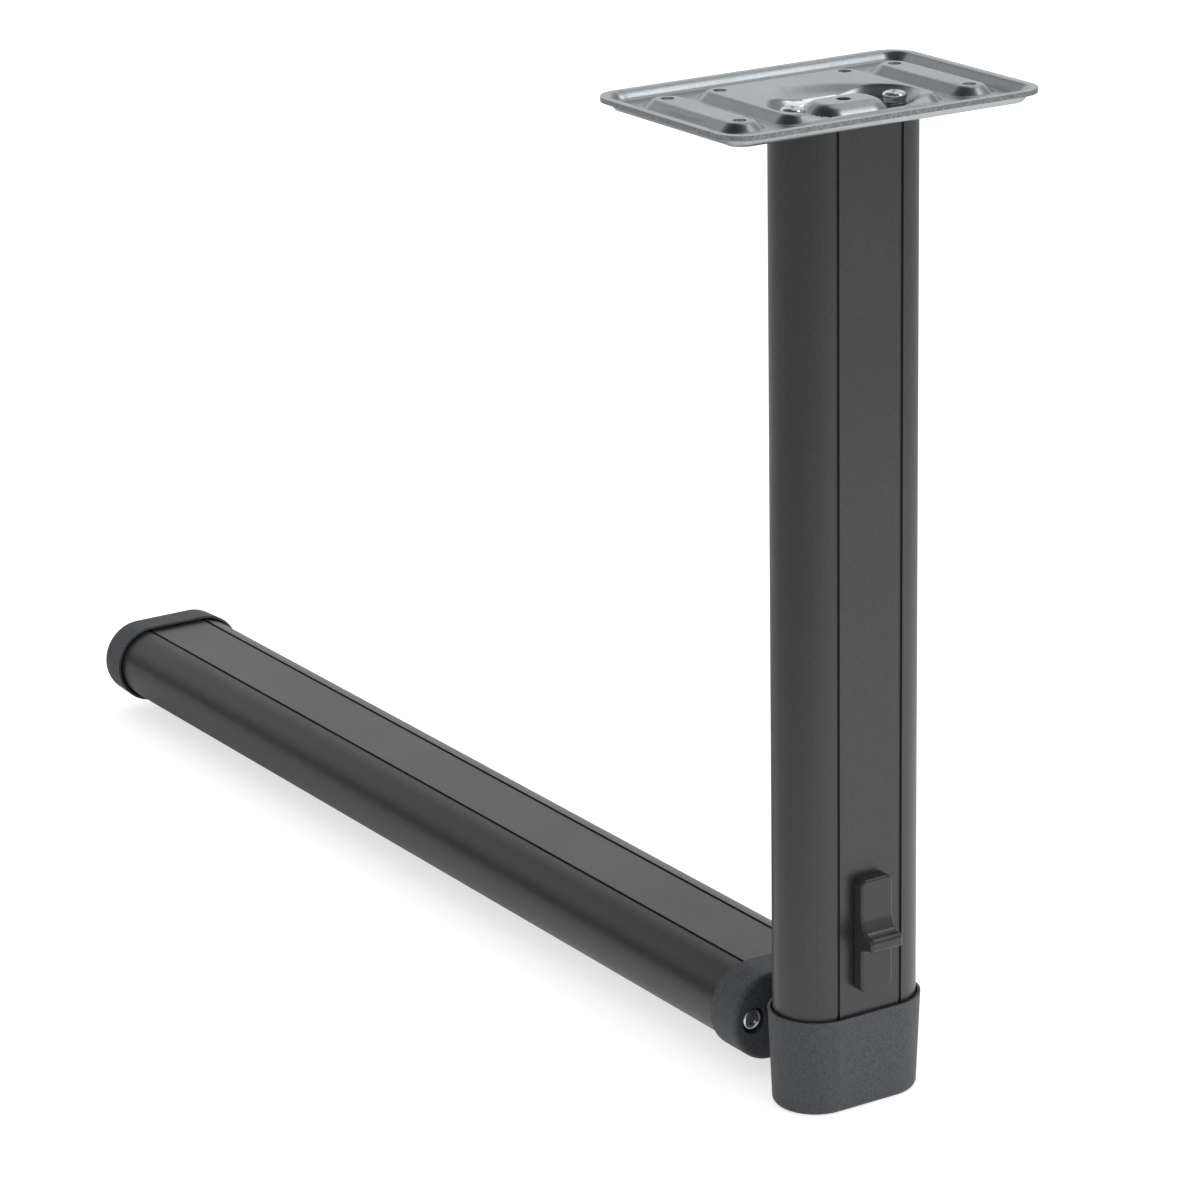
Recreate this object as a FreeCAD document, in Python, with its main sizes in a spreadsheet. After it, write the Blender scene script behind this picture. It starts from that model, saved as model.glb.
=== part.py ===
"""Folding support leg for a table, standing on its knee with the lower half laid back.

The upper half is an oval aluminium tube under a pressed steel mounting plate. A cast fork
closes its lower end, inside a moulded cover on which the folded leg stands. The lower half
is the same tube on a steel tongue that turns on a pin across the fork. A spring-loaded bolt
in the fork, moved by a slider on the front face, locks the tongue straight or folded.

Millimetres. The origin is on the upper tube's axis, in the plane of the knee cover's base.
+Z points up to the table, +Y back along the folded half, and -Y is the side of the slider.
"""
import FreeCAD, Part

import math
import os
import re

import Sketcher
from FreeCAD import Placement, Rotation, Vector

SIZES = {
    # Both tubes share one oval extrusion
    "tube_width": 50,
    "tube_depth": 27,
    "tube_wall": 1.8,
    "groove_spacing": 23.8,
    "groove_width": 1.3,
    "groove_depth": 0.7,
    "port_bore": 3.7,
    "port_wall": 2.8,
    "port_bite": 0.25,
    # Overall lengths
    "folded_height": 324,
    "lower_length": 443.2,
    # Knee joint
    "pin_height": 21.8,
    "pin_offset": 1.2,
    "pin_diameter": 8,
    "pin_end_gap": 0.4,
    "pin_chamfer": 0.6,
    "running_gap": 0.3,
    "fit_gap": 0.05,
    "bush_wall": 1,
    "bush_flange": 1.2,
    "bush_collar": 14,
    "hub_radius": 9,
    "arm_thickness": 14,
    "tongue_width": 17.6,
    "hub_clearance": 0.5,
    "flange_thickness": 3,
    "plug_length": 28,
    "plug_wall": 3,
    "notch_width": 7.2,
    "notch_depth": 2.5,
    # Fork and its plug in the upper tube
    "tube_seat": 30,
    "fork_inset": 1.5,
    "plug_gap": 0.4,
    "plug_corner": 3,
    "spigot_top": 92,
    "spring_seat": 88,
    "screw_clearance": 4.4,
    # Knee cover, knee end cap and foot cap
    "cover_height": 32.4,
    "cover_proud": 1.5,
    "cover_draft": 1.4,
    "cover_floor": 3,
    "cover_edge": 2,
    "mouth_gap": 0.6,
    "mouth_step": 1,
    "seat_gap": 0.2,
    "screw_well": 9,
    "cap_length": 13.7,
    "cap_edge": 1.5,
    "foot_length": 14.2,
    "foot_draft": 0.6,
    "foot_edge": 3,
    "foot_plug": 18,
    "foot_plug_wall": 2,
    # Latch
    "latch_travel": 6,
    "latch_drop": 2.8,
    "bolt_width": 12,
    "bolt_back": 6,
    "bolt_front": 8,
    "bolt_foot": 39,
    "bolt_top": 70,
    "bolt_tip_width": 6.4,
    "bolt_tip_chamfer": 1,
    "bolt_gap": 0.3,
    "spring_stub": 4.6,
    "spring_stub_height": 5,
    "spring_diameter": 7.4,
    "spring_wire": 1,
    "spring_turns": 5,
    "button_width": 12,
    "button_foot": 41,
    "button_top": 79,
    "button_proud": 4.4,
    "button_lift": 0.2,
    "button_corner": 2.2,
    "ridge_proud": 10,
    "ridge_height": 56.5,
    "ridge_thickness": 4.4,
    "ridge_round": 1.2,
    "ridge_edge": 0.6,
    "cove_radius": 6.6,
    "ridge_root": 54.2,
    "root_round": 1.6,
    "neck_width": 6,
    "neck_foot": 52,
    "neck_top": 67,
    "neck_depth": 7.2,
    # Pressed mounting plate
    "plate_length": 116,
    "plate_width": 77.5,
    "plate_corner": 12,
    "plate_shift": 12.6,
    "sheet_thickness": 1.5,
    "tray_depth": 2.9,
    "lip_width": 2.6,
    "tray_corner": 8,
    "tray_draft": 2.6,
    "form_draft": 3.2,
    "form_round": 1.2,
    "strip_width": 8.5,
    "strip_spacing": 84.4,
    "strip_reach": 46.2,
    "plateau_width": 54,
    "dish_radius": 24,
    "dish_floor_radius": 13,
    "dish_depth": 1.9,
    "pocket_depth": 4.2,
    "pocket_margin": 0.3,
    "pocket_breadth": 22,
    "pocket_draft": 1.5,
    "boss_length": 17,
    "boss_breadth": 8,
    "boss_draft": 3.2,
    "boss_round": 2,
    "boss_drop": 0.3,
    "centre_hole": 4.5,
    "fixing_hole": 4.2,
    "fixing_rows": 38.2,
    "middle_holes": 46.4,
    # Fasteners
    "screw_core": 3.6,
    "head_diameter": 7.6,
    "head_height": 2.4,
    "head_flat": 3,
    "head_side": 1.1,
    "head_crown": 3,
    "recess_span": 4.4,
    "recess_width": 1.1,
    "recess_depth": 1.5,
    "plate_screw_length": 26,
    "fork_screw_length": 42,
    "tongue_screw_length": 24,
    "washer_diameter": 7.4,
    "washer_thickness": 0.6,
    "spring_washer_diameter": 6.9,
    "spring_washer_thickness": 0.9,
    "spring_washer_slit": 0.7,
    "washer_bore": 4.2,
}

# Places worked out from the sizes, as expressions
POCKET_FLOOR = "(folded_height - pocket_depth)"
TUBE_TOP = f"({POCKET_FLOOR} - sheet_thickness)"
LYING_AXIS = "(pin_height - pin_offset)"
KNEE_FACE = "(pin_height + pin_offset + running_gap)"
PIN_REACH = "(pin_height + running_gap)"
PORT_X = "(tube_width / 2 - tube_wall + port_bite - port_bore / 2 - port_wall)"
PORT_OUTSIDE = "(port_bore + 2 * port_wall)"
PLUG_WIDTH = f"(2 * {PORT_X} - {PORT_OUTSIDE} - 2 * plug_gap)"
PIN_HALF = f"({PORT_X} - screw_clearance / 2 - pin_end_gap)"
POCKET_STRAIGHT = f"({PORT_X} + washer_diameter / 2 + pocket_margin - pocket_breadth / 2)"
PLUG_DEPTH = "(tube_depth - 2 * tube_wall - 2 * plug_gap)"
FORK_WIDTH = "(tube_width - 2 * fork_inset)"
FORK_DEPTH = "(tube_depth - 2 * fork_inset)"
SLOT_WIDTH = "(tongue_width + 2 * bush_flange + 2 * running_gap)"
SLOT_CEILING = "(pin_height + hub_radius + hub_clearance)"
BUSH_DIAMETER = "(pin_diameter + 2 * fit_gap + 2 * bush_wall)"
FLANGE_TOP = "(cover_floor + flange_thickness)"
MOUTH_WIDTH = "(tube_width + 2 * mouth_gap)"
MOUTH_DEPTH = "(tube_depth + 2 * mouth_gap)"
BOLT_TIP = "(pin_height + hub_radius + running_gap)"
FOOT_MOUTH = "(lower_length - foot_length)"
PLATE_TOP = "folded_height"
SLANT = "tan(22.5)"

doc = FreeCAD.newDocument("folding_support_leg")
sheet = doc.addObject("Spreadsheet::Sheet", "Sheet")
for row, (alias, value) in enumerate(SIZES.items(), start=1):
    sheet.set(f"A{row}", alias.replace("_", " "))
    sheet.set(f"B{row}", str(value))
    sheet.setAlias(f"B{row}", alias)
doc.recompute()

parts = []


def number(expression):
    """The present value of an expression of the sheet's sizes."""
    return float(sheet.evalExpression(str(expression)))


def bind(thing, prop, expression):
    """Tie a property to the sheet, or set it where the expression names no size."""
    text = re.sub(r"[a-z]+(?:_[a-z]+)+", lambda found: "Sheet." + found.group(0), str(expression))
    if "Sheet." in text:
        thing.setExpression(prop, text)
    elif "." not in prop:
        setattr(thing, prop, number(expression))


def finished(thing, label):
    """Name a sub-part and put it on the list of files to write."""
    thing.Label = label
    parts.append(thing)
    return thing


def new_body(label):
    return finished(doc.addObject("PartDesign::Body", label), label)


def oval(width, depth, x="0", y="0"):
    """The tube's outline: two flats and two half-round ends, in quarter arcs."""
    straight, radius = f"({width} - {depth}) / 2", f"{depth} / 2"
    return [
        (f"{x} - {straight}", f"{y} - {radius}"),
        (f"{x} + {straight}", f"{y} - {radius}"),
        (f"{x} + {width} / 2", y, radius),
        (f"{x} + {straight}", f"{y} + {radius}", radius),
        (f"{x} - {straight}", f"{y} + {radius}"),
        (f"{x} - {width} / 2", y, radius),
        (f"{x} - {straight}", f"{y} - {radius}", radius),
    ]


def rounded(width, depth, radius, x="0", y="0"):
    """A rectangle with rounded corners about a centre."""
    left, right = f"{x} - {width} / 2", f"{x} + {width} / 2"
    low, high = f"{y} - {depth} / 2", f"{y} + {depth} / 2"
    return [
        (f"{left} + {radius}", low),
        (f"{right} - {radius}", low),
        (right, f"{low} + {radius}", radius),
        (right, f"{high} - {radius}"),
        (f"{right} - {radius}", high, radius),
        (f"{left} + {radius}", high),
        (left, f"{high} - {radius}", radius),
        (left, f"{low} + {radius}"),
        (f"{left} + {radius}", low, radius),
    ]


def box_outline(left, right, low, high):
    return [(left, low), (right, low), (right, high), (left, high)]


def blank_sketch(body, name, role, lift):
    sketch = body.newObject("Sketcher::SketchObject", name)
    plane = next(item for item in body.Origin.OriginFeatures if item.Role == role)
    sketch.AttachmentSupport = [(plane, "")]
    sketch.MapMode = "FlatFace"
    bind(sketch, "AttachmentOffset.Base.z", lift)
    return sketch


def fix_point(sketch, geometry, place, x, y):
    """Hold a point of the sketch at two distances from the origin."""
    for kind, expression in (("DistanceX", x), ("DistanceY", y)):
        index = sketch.addConstraint(
            Sketcher.Constraint(kind, -1, 1, geometry, place, number(expression))
        )
        bind_constraint(sketch, index, f"{kind}_{geometry}_{place}", expression)


def bind_constraint(sketch, index, name, expression):
    sketch.renameConstraint(index, name)
    bind(sketch, f"Constraints.{name}", expression)


def draw(body, name, outlines, role="XY_Plane", lift="0"):
    """Closed outlines on a base plane. A third value in a corner is the radius of the arc
    that ends there: positive turns left on its way, negative turns right."""
    sketch = blank_sketch(body, name, role, lift)
    for corners in outlines:
        closed = len(corners[-1]) == 3 and corners[-1][:2] == corners[0][:2]
        ends = []
        points = [Vector(number(c[0]), number(c[1]), 0) for c in corners]
        steps = list(range(1, len(corners))) + ([] if closed else [0])
        for step in steps:
            start, stop = points[step - 1], points[step]
            if len(corners[step]) == 2:
                geometry = sketch.addGeometry(Part.LineSegment(start, stop))
                ends.append((geometry, 1, 2))
                continue
            turn = corners[step][2]
            radius = abs(number(turn))
            left = number(turn) > 0
            middle, chord = (start + stop) * 0.5, stop - start
            side = Vector(-chord.y, chord.x, 0).normalize() * (1 if left else -1)
            centre = middle + side * math.sqrt(max(radius**2 - (chord.Length / 2) ** 2, 0))
            first, last = (start, stop) if left else (stop, start)
            angles = [math.atan2(p.y - centre.y, p.x - centre.x) for p in (first, last)]
            circle = Part.Circle(centre, Vector(0, 0, 1), radius)
            geometry = sketch.addGeometry(Part.ArcOfCircle(circle, *angles))
            index = sketch.addConstraint(Sketcher.Constraint("Radius", geometry, radius))
            bind_constraint(sketch, index, f"Radius_{geometry}", turn if left else f"-({turn})")
            ends.append((geometry, 1, 2) if left else (geometry, 2, 1))
        for order, (geometry, head, tail) in enumerate(ends):
            follower, start, _ = ends[(order + 1) % len(ends)]
            sketch.addConstraint(Sketcher.Constraint("Coincident", geometry, tail, follower, start))
            corner = corners[steps[order] - 1]
            fix_point(sketch, geometry, head, corner[0], corner[1])
    return sketch


def circles(body, name, discs, role="XY_Plane", lift="0"):
    """Whole circles, each a centre and a diameter."""
    sketch = blank_sketch(body, name, role, lift)
    for x, y, diameter in discs:
        size = number(diameter)
        circle = Part.Circle(Vector(number(x), number(y), 0), Vector(0, 0, 1), size / 2)
        geometry = sketch.addGeometry(circle)
        index = sketch.addConstraint(Sketcher.Constraint("Diameter", geometry, size))
        bind_constraint(sketch, index, f"Diameter_{geometry}", diameter)
        fix_point(sketch, geometry, 3, x, y)
    return sketch


def sweep(kind, body, name, sketch, length, forward=True, both=False, taper=None):
    feature = body.newObject(kind, name)
    feature.Profile = sketch
    if length is None:
        feature.Type = "ThroughAll"
    else:
        bind(feature, "Length", length)
    if both:
        feature.SideType = "Symmetric"
    feature.Reversed = not forward
    if taper is not None:
        bind(feature, "TaperAngle", taper)
    doc.recompute()
    return feature


def pad(body, name, sketch, length, **options):
    return sweep("PartDesign::Pad", body, name, sketch, length, **options)


def pocket(body, name, sketch, length=None, **options):
    """Cut a sketch into the body, and make sure that it took something away."""
    before = body.Shape.Volume
    feature = sweep("PartDesign::Pocket", body, name, sketch, length, **options)
    if body.Shape.Volume > before - 1e-3:
        raise RuntimeError(f"{body.Label}: {name} cuts nothing")
    return feature


def revolve(body, name, sketch, role="Z_Axis"):
    feature = body.newObject("PartDesign::Revolution", name)
    feature.Profile = sketch
    axis = next(item for item in body.Origin.OriginFeatures if item.Role == role)
    feature.ReferenceAxis = (axis, [""])
    feature.Angle = 360
    doc.recompute()
    return feature


def edges_where(shape, test):
    """Names of the edges whose middle point and box pass a test."""
    names = []
    for index, edge in enumerate(shape.Edges, start=1):
        if test(edge.BoundBox):
            names.append(f"Edge{index}")
    return names


def dress(kind, body, name, size, test):
    """Round or chamfer the edges of the body's last shape that pass a test."""
    base = body.Tip
    names = edges_where(base.Shape, test)
    if not names:
        raise RuntimeError(f"{body.Label}: no edge for {name}")
    feature = body.newObject(kind, name)
    feature.Base = (base, names)
    bind(feature, "Radius" if kind.endswith("Fillet") else "Size", size)
    doc.recompute()
    return feature


def near(value, expression):
    return abs(value - number(expression)) < 0.01


def level(expression):
    """A test for edges that lie flat at one height."""
    return lambda box: near(box.ZMin, expression) and near(box.ZMax, expression)


def place(body, x="0", y="0", z="0", turn=None):
    if turn is not None:
        body.Placement = Placement(Vector(), turn)
    for axis, expression in (("x", x), ("y", y), ("z", z)):
        bind(body, f"Placement.Base.{axis}", expression)


def lay_down(body):
    """Put a piece of the lower half in its folded place. It is drawn with the knee face at
    z = 0, its length along +Z and its front towards -Y, which faces up when it lies."""
    place(body, y=KNEE_FACE, z=LYING_AXIS, turn=Rotation(Vector(1, 0, 0), -90))


def oval_tube(label, length):
    """A length of the extrusion: oval wall, a screw port at each end, four shade grooves."""
    body = new_body(label)
    pad(body, "wall", draw(body, "outside", [oval("tube_width", "tube_depth")]), length)
    inside = oval("(tube_width - 2 * tube_wall)", "(tube_depth - 2 * tube_wall)")
    pocket(body, "hollow", draw(body, "inside", [inside]), forward=False)
    ends = [(f"-{PORT_X}", "0"), (PORT_X, "0")]
    rings = circles(body, "port_outside", [(x, y, PORT_OUTSIDE) for x, y in ends])
    pad(body, "ports", rings, length)
    bores = circles(body, "port_inside", [(x, y, "port_bore") for x, y in ends])
    pocket(body, "port_bores", bores, forward=False)
    grooves = []
    for side in ("-", ""):
        middle = f"{side}groove_spacing / 2"
        left, right = f"{middle} - groove_width / 2", f"{middle} + groove_width / 2"
        floor, outside = "tube_depth / 2 - groove_depth", "tube_depth / 2 + groove_depth"
        grooves.append(box_outline(left, right, floor, outside))
        grooves.append(box_outline(left, right, f"-({outside})", f"-({floor})"))
    pocket(body, "grooves", draw(body, "groove_sections", grooves), forward=False)
    return body


def upper_tube():
    body = oval_tube("upper_tube", f"{TUBE_TOP} - tube_seat")
    low = "neck_foot - latch_drop - 2 * bolt_gap - tube_seat"
    high = "neck_top + latch_travel + 2 * bolt_gap - tube_seat"
    width = "(neck_width + 2 * bolt_gap)"
    middle = f"(({high}) + ({low})) / 2"
    outline = rounded(width, f"(({high}) - ({low}))", "neck_width / 4", y=middle)
    window = draw(body, "latch_window", [outline], role="XZ_Plane", lift="tube_depth / 2")
    pocket(body, "latch_slot", window, "tube_wall + groove_depth")
    place(body, z="tube_seat")


def lower_tube():
    body = oval_tube("lower_tube", f"lower_length - cover_floor - {FLANGE_TOP} - mouth_gap")
    place(body, y=f"{KNEE_FACE} + {FLANGE_TOP}", z=LYING_AXIS, turn=Rotation(Vector(1, 0, 0), -90))


def swing_relief(body, radius):
    """Take the lower back edge down to an arc about the pin, where the lower half passes."""
    back = "(tube_depth / 2 + cover_proud + 1)"
    corner = f"pin_height - sqrt(({radius}) ^ 2 - ({back} - pin_offset) ^ 2)"
    base = f"(pin_height - ({radius}))"
    outline = [
        ("pin_offset", f"{base} - 1"),
        (back, f"{base} - 1"),
        (back, corner),
        ("pin_offset", base, f"-({radius})"),
    ]
    sketch = draw(body, "swing_outline", [outline], role="YZ_Plane")
    pocket(body, "swing_relief", sketch, both=True)


def knee_cover():
    """Moulded cup round the fork, on which the folded leg stands."""
    body = new_body("knee_cover")
    width = "(tube_width + 2 * cover_proud - 2 * cover_draft)"
    depth = "(tube_depth + 2 * cover_proud - 2 * cover_draft)"
    sketch = draw(body, "base_outline", [oval(width, depth)])
    pad(body, "cup", sketch, "cover_height", taper="atan(cover_draft / cover_height)")
    dress("PartDesign::Fillet", body, "base_edge", "cover_edge", level("0"))
    mouth = draw(body, "mouth_outline", [oval(MOUTH_WIDTH, MOUTH_DEPTH)], lift="cover_height")
    pocket(body, "mouth", mouth, "cover_height - tube_seat + mouth_step")
    nest = oval(f"({FORK_WIDTH} + 2 * seat_gap)", f"({FORK_DEPTH} + 2 * seat_gap)")
    sketch = draw(body, "nest_outline", [nest], lift="cover_height")
    pocket(body, "nest", sketch, "cover_height - cover_floor")
    reach = "(arm_thickness / 2 + hub_clearance)"
    outline = box_outline(
        f"pin_offset - {reach}", "tube_depth", "-cover_floor", f"pin_height + {reach}"
    )
    slot = draw(body, "slot_outline", [outline], role="YZ_Plane")
    pocket(body, "slot", slot, SLOT_WIDTH, both=True)
    swing_relief(body, "pin_height")
    wells = [(f"-{PORT_X}", "0", "screw_well"), (PORT_X, "0", "screw_well")]
    pocket(body, "screw_wells", circles(body, "well_outline", wells), "cover_floor", forward=False)


def fork():
    """Cast insert: two cheeks for the pin, and a plug in the tube that guides the bolt."""
    body = new_body("hinge_fork")
    block = draw(body, "block_outline", [oval(FORK_WIDTH, FORK_DEPTH)], lift="cover_floor")
    pad(body, "block", block, "tube_seat - cover_floor")
    plug = rounded(PLUG_WIDTH, PLUG_DEPTH, "plug_corner")
    sketch = draw(body, "plug_outline", [plug], lift="tube_seat")
    pad(body, "plug", sketch, "spigot_top - tube_seat")
    front = "pin_offset - hub_radius - hub_clearance"
    outline = box_outline(front, "tube_depth", "0", SLOT_CEILING)
    slot = draw(body, "slot_outline", [outline], role="YZ_Plane")
    pocket(body, "slot", slot, SLOT_WIDTH, both=True)
    swing_relief(body, "(pin_height - cover_floor)")
    bore = [("pin_offset", "pin_height", "pin_diameter + 2 * fit_gap")]
    pocket(body, "pin_bore", circles(body, "pin_circle", bore, role="YZ_Plane"), both=True)
    holes = [(f"-{PORT_X}", "0", "screw_clearance"), (PORT_X, "0", "screw_clearance")]
    pocket(body, "screw_holes", circles(body, "screw_circles", holes), forward=False)
    shoulder = "(bolt_foot - latch_drop - bolt_gap)"
    half = "(bolt_width / 2 + bolt_gap)"
    channel = box_outline(f"-{half}", half, "-tube_depth / 2", "bolt_back + bolt_gap")
    sketch = draw(body, "channel_outline", [channel], lift="spring_seat")
    pocket(body, "bolt_channel", sketch, f"spring_seat - {shoulder}")
    reach = "(bolt_tip_width / 2 + bolt_gap)"
    tip = box_outline(f"-{half}", half, f"pin_offset - {reach}", f"pin_offset + {reach}")
    sketch = draw(body, "tip_outline", [tip], lift=shoulder)
    pocket(body, "tip_guide", sketch, f"{shoulder} - {SLOT_CEILING}")


def lock_bolt():
    """Sliding bolt with a chamfered tip, a socket for the button and a stub for the spring."""
    body = new_body("lock_bolt")
    half = "bolt_width / 2"
    block = box_outline(f"-{half}", half, "-bolt_front", "bolt_back")
    sketch = draw(body, "block_outline", [block], lift="bolt_foot")
    pad(body, "block", sketch, "bolt_top - bolt_foot")
    reach = "bolt_tip_width / 2"
    tip = box_outline(f"-{half}", half, f"pin_offset - {reach}", f"pin_offset + {reach}")
    pad(body, "tip", draw(body, "tip_outline", [tip], lift=BOLT_TIP), f"bolt_foot - {BOLT_TIP}")
    dress(
        "PartDesign::Chamfer", body, "tip_chamfer", "bolt_tip_chamfer",
        lambda box: near(box.ZMin, BOLT_TIP) and near(box.ZMax, BOLT_TIP) and box.XLength > box.YLength,
    )
    stub = circles(body, "stub_circle", [("0", "0", "spring_stub")], lift="bolt_top")
    pad(body, "spring_stub", stub, "spring_stub_height")
    side = "(neck_width / 2 + fit_gap)"
    socket = box_outline(f"-{side}", side, "neck_foot - fit_gap", "neck_top + fit_gap")
    sketch = draw(body, "socket_outline", [socket], role="XZ_Plane", lift="bolt_front")
    air = "(tube_depth / 2 + button_lift - bolt_front)"
    pocket(body, "socket", sketch, f"neck_depth - {air} + fit_gap")


def latch_button():
    """Slider with a finger ridge: a side profile across the width, then rounded corners."""
    body = new_body("latch_button")
    back = "-(tube_depth / 2 + button_lift)"
    face = "-(tube_depth / 2 + button_proud)"
    crest = "-(tube_depth / 2 + ridge_proud)"
    top_of_ridge = "(ridge_height + ridge_thickness)"
    profile = [
        (back, "button_foot"),
        (back, "button_top"),
        (face, "button_top"),
        (face, f"{top_of_ridge} + cove_radius"),
        (f"{crest} + ridge_round", f"{top_of_ridge}", "-cove_radius"),
        (crest, f"{top_of_ridge} - ridge_round", "ridge_round"),
        (crest, "ridge_height + ridge_edge"),
        (f"{crest} + ridge_edge", "ridge_height", "ridge_edge"),
        (f"{face} - root_round", "ridge_root + root_round"),
        (face, "ridge_root", "-root_round"),
        (face, "button_foot"),
    ]
    sketch = draw(body, "side_profile", [profile], role="YZ_Plane")
    pad(body, "slider", sketch, "button_width", both=True)
    dress(
        "PartDesign::Fillet", body, "corners", "button_corner",
        lambda box: box.YLength > 1 and box.XLength < 0.01 and box.ZLength < 0.01 and (
            near(box.ZMin, "button_foot") or near(box.ZMin, "button_top")),
    )
    outline = box_outline("-neck_width / 2", "neck_width / 2", "neck_foot", "neck_top")
    lift = "tube_depth / 2 + button_lift"
    neck = draw(body, "neck_outline", [outline], role="XZ_Plane", lift=lift)
    pad(body, "neck", neck, "neck_depth", forward=False)


def coil_spring():
    """Compression spring between the bolt and the closed end of the fork's plug."""
    helix = doc.addObject("Part::Helix", "spring_path")
    bind(helix, "Radius", "(spring_diameter - spring_wire) / 2")
    bind(helix, "Height", "spring_seat - bolt_top - spring_wire")
    bind(helix, "Pitch", "(spring_seat - bolt_top - spring_wire) / spring_turns")
    bind(helix, "Placement.Base.z", "bolt_top + spring_wire / 2")
    wire = doc.addObject("Part::Circle", "spring_section")
    bind(wire, "Radius", "spring_wire / 2")
    wire.Placement = Placement(Vector(), Rotation(Vector(1, 0, 0), 90))
    bind(wire, "Placement.Base.x", "(spring_diameter - spring_wire) / 2")
    bind(wire, "Placement.Base.z", "bolt_top + spring_wire / 2")
    coil = doc.addObject("Part::Sweep", "latch_spring")
    coil.Sections = [wire]
    coil.Spine = (helix, [])
    coil.Solid = True
    coil.Frenet = True
    finished(coil, "latch_spring")


def hinge_pin():
    """Plain pin, kept in its bore by the two screws that pass its ends."""
    rod = doc.addObject("Part::Cylinder", "pin_rod")
    bind(rod, "Radius", "pin_diameter / 2")
    bind(rod, "Height", f"2 * {PIN_HALF}")
    rod.Placement = Placement(Vector(), Rotation(Vector(0, 1, 0), 90))
    for axis, expression in (("x", f"-{PIN_HALF}"), ("y", "pin_offset"), ("z", "pin_height")):
        bind(rod, f"Placement.Base.{axis}", expression)
    doc.recompute()
    pin = doc.addObject("Part::Chamfer", "hinge_pin")
    pin.Base = rod
    size = number("pin_chamfer")
    ends = edges_where(rod.Shape, lambda box: box.XLength < 0.01)
    pin.Edges = [(int(name[4:]), size, size) for name in ends]
    finished(pin, "hinge_pin")


def hinge_tongue():
    """Steel tongue: hub and arm, flange across the tube's end, hollow plug inside it."""
    body = new_body("hinge_tongue")
    flange = oval("(tube_width - 2 * plug_gap)", "(tube_depth - 2 * plug_gap)")
    pad(body, "flange", draw(body, "flange_outline", [flange], lift="cover_floor"), "flange_thickness")
    plug = draw(body, "plug_outline", [rounded(PLUG_WIDTH, PLUG_DEPTH, "plug_corner")], lift=FLANGE_TOP)
    pad(body, "plug", plug, "plug_length")
    width, depth = f"({PLUG_WIDTH} - 2 * plug_wall)", f"({PLUG_DEPTH} - 2 * plug_wall)"
    hollow = rounded(width, depth, "plug_corner / 2")
    sketch = draw(body, "hollow_outline", [hollow], lift=f"{FLANGE_TOP} + plug_length")
    pocket(body, "hollow", sketch, "plug_length")
    half = "arm_thickness / 2"
    arm = box_outline(f"-pin_offset - {half}", f"-pin_offset + {half}", f"-{PIN_REACH}", "cover_floor")
    pad(body, "arm", draw(body, "arm_outline", [arm], role="YZ_Plane"), "tongue_width", both=True)
    hub = circles(body, "hub_circle", [("-pin_offset", f"-{PIN_REACH}", "2 * hub_radius")], role="YZ_Plane")
    pad(body, "hub", hub, "tongue_width", both=True)
    bore = [("-pin_offset", f"-{PIN_REACH}", f"{BUSH_DIAMETER} + 2 * fit_gap")]
    pocket(body, "bush_bore", circles(body, "bore_circle", bore, role="YZ_Plane"), both=True)
    straight = box_outline(
        "-pin_offset - notch_width / 2", "-pin_offset + notch_width / 2",
        f"-{PIN_REACH} - hub_radius - notch_depth", f"-{PIN_REACH} - hub_radius + notch_depth",
    )
    folded = box_outline(
        "-pin_offset - hub_radius - notch_depth", "-pin_offset - hub_radius + notch_depth",
        f"-{PIN_REACH} - notch_width / 2", f"-{PIN_REACH} + notch_width / 2",
    )
    notches = draw(body, "notches", [straight, folded], role="YZ_Plane")
    pocket(body, "lock_notches", notches, both=True)
    holes = [(f"-{PORT_X}", "0", "screw_clearance"), (PORT_X, "0", "screw_clearance")]
    pocket(body, "screw_holes", circles(body, "screw_circles", holes), forward=False)
    lay_down(body)


def flanged_bush(label, side):
    """Plain bearing bush pushed into the tongue from one side."""
    body = new_body(label)
    inner, outer = "(pin_diameter / 2 + fit_gap)", f"({BUSH_DIAMETER} / 2)"
    collar, length = "bush_collar / 2", "(tongue_width / 2 - fit_gap)"
    profile = [
        (inner, f"-{length}"),
        (outer, f"-{length}"),
        (outer, "0"),
        (collar, "0"),
        (collar, "bush_flange"),
        (inner, "bush_flange"),
    ]
    revolve(body, "bush", draw(body, "section", [profile], role="XZ_Plane"))
    turn = Rotation(Vector(0, 1, 0), 90 * side)
    place(body, x=f"{side} * tongue_width / 2", y="pin_offset", z="pin_height", turn=turn)


def knee_end_cap():
    """Moulded cap over the knee end of the lower tube, open for the tongue."""
    body = new_body("knee_end_cap")
    outside = oval("(tube_width + 2 * cover_proud)", "(tube_depth + 2 * cover_proud)")
    pad(body, "cup", draw(body, "outline", [outside]), "cap_length")
    dress("PartDesign::Fillet", body, "face_edge", "cap_edge", level("0"))
    mouth = draw(body, "mouth_outline", [oval(MOUTH_WIDTH, MOUTH_DEPTH)], lift="cap_length")
    pocket(body, "mouth", mouth, "cap_length - cover_floor")
    depth = "(arm_thickness + 2 * seat_gap)"
    window = box_outline(
        "-tongue_width / 2 - seat_gap", "tongue_width / 2 + seat_gap",
        f"-pin_offset - {depth} / 2", f"-pin_offset + {depth} / 2",
    )
    pocket(body, "window", draw(body, "window_outline", [window]), "cover_floor", forward=False)
    wells = [(f"-{PORT_X}", "0", "screw_well"), (PORT_X, "0", "screw_well")]
    pocket(body, "screw_wells", circles(body, "well_outline", wells), "cover_floor", forward=False)
    lay_down(body)


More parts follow.
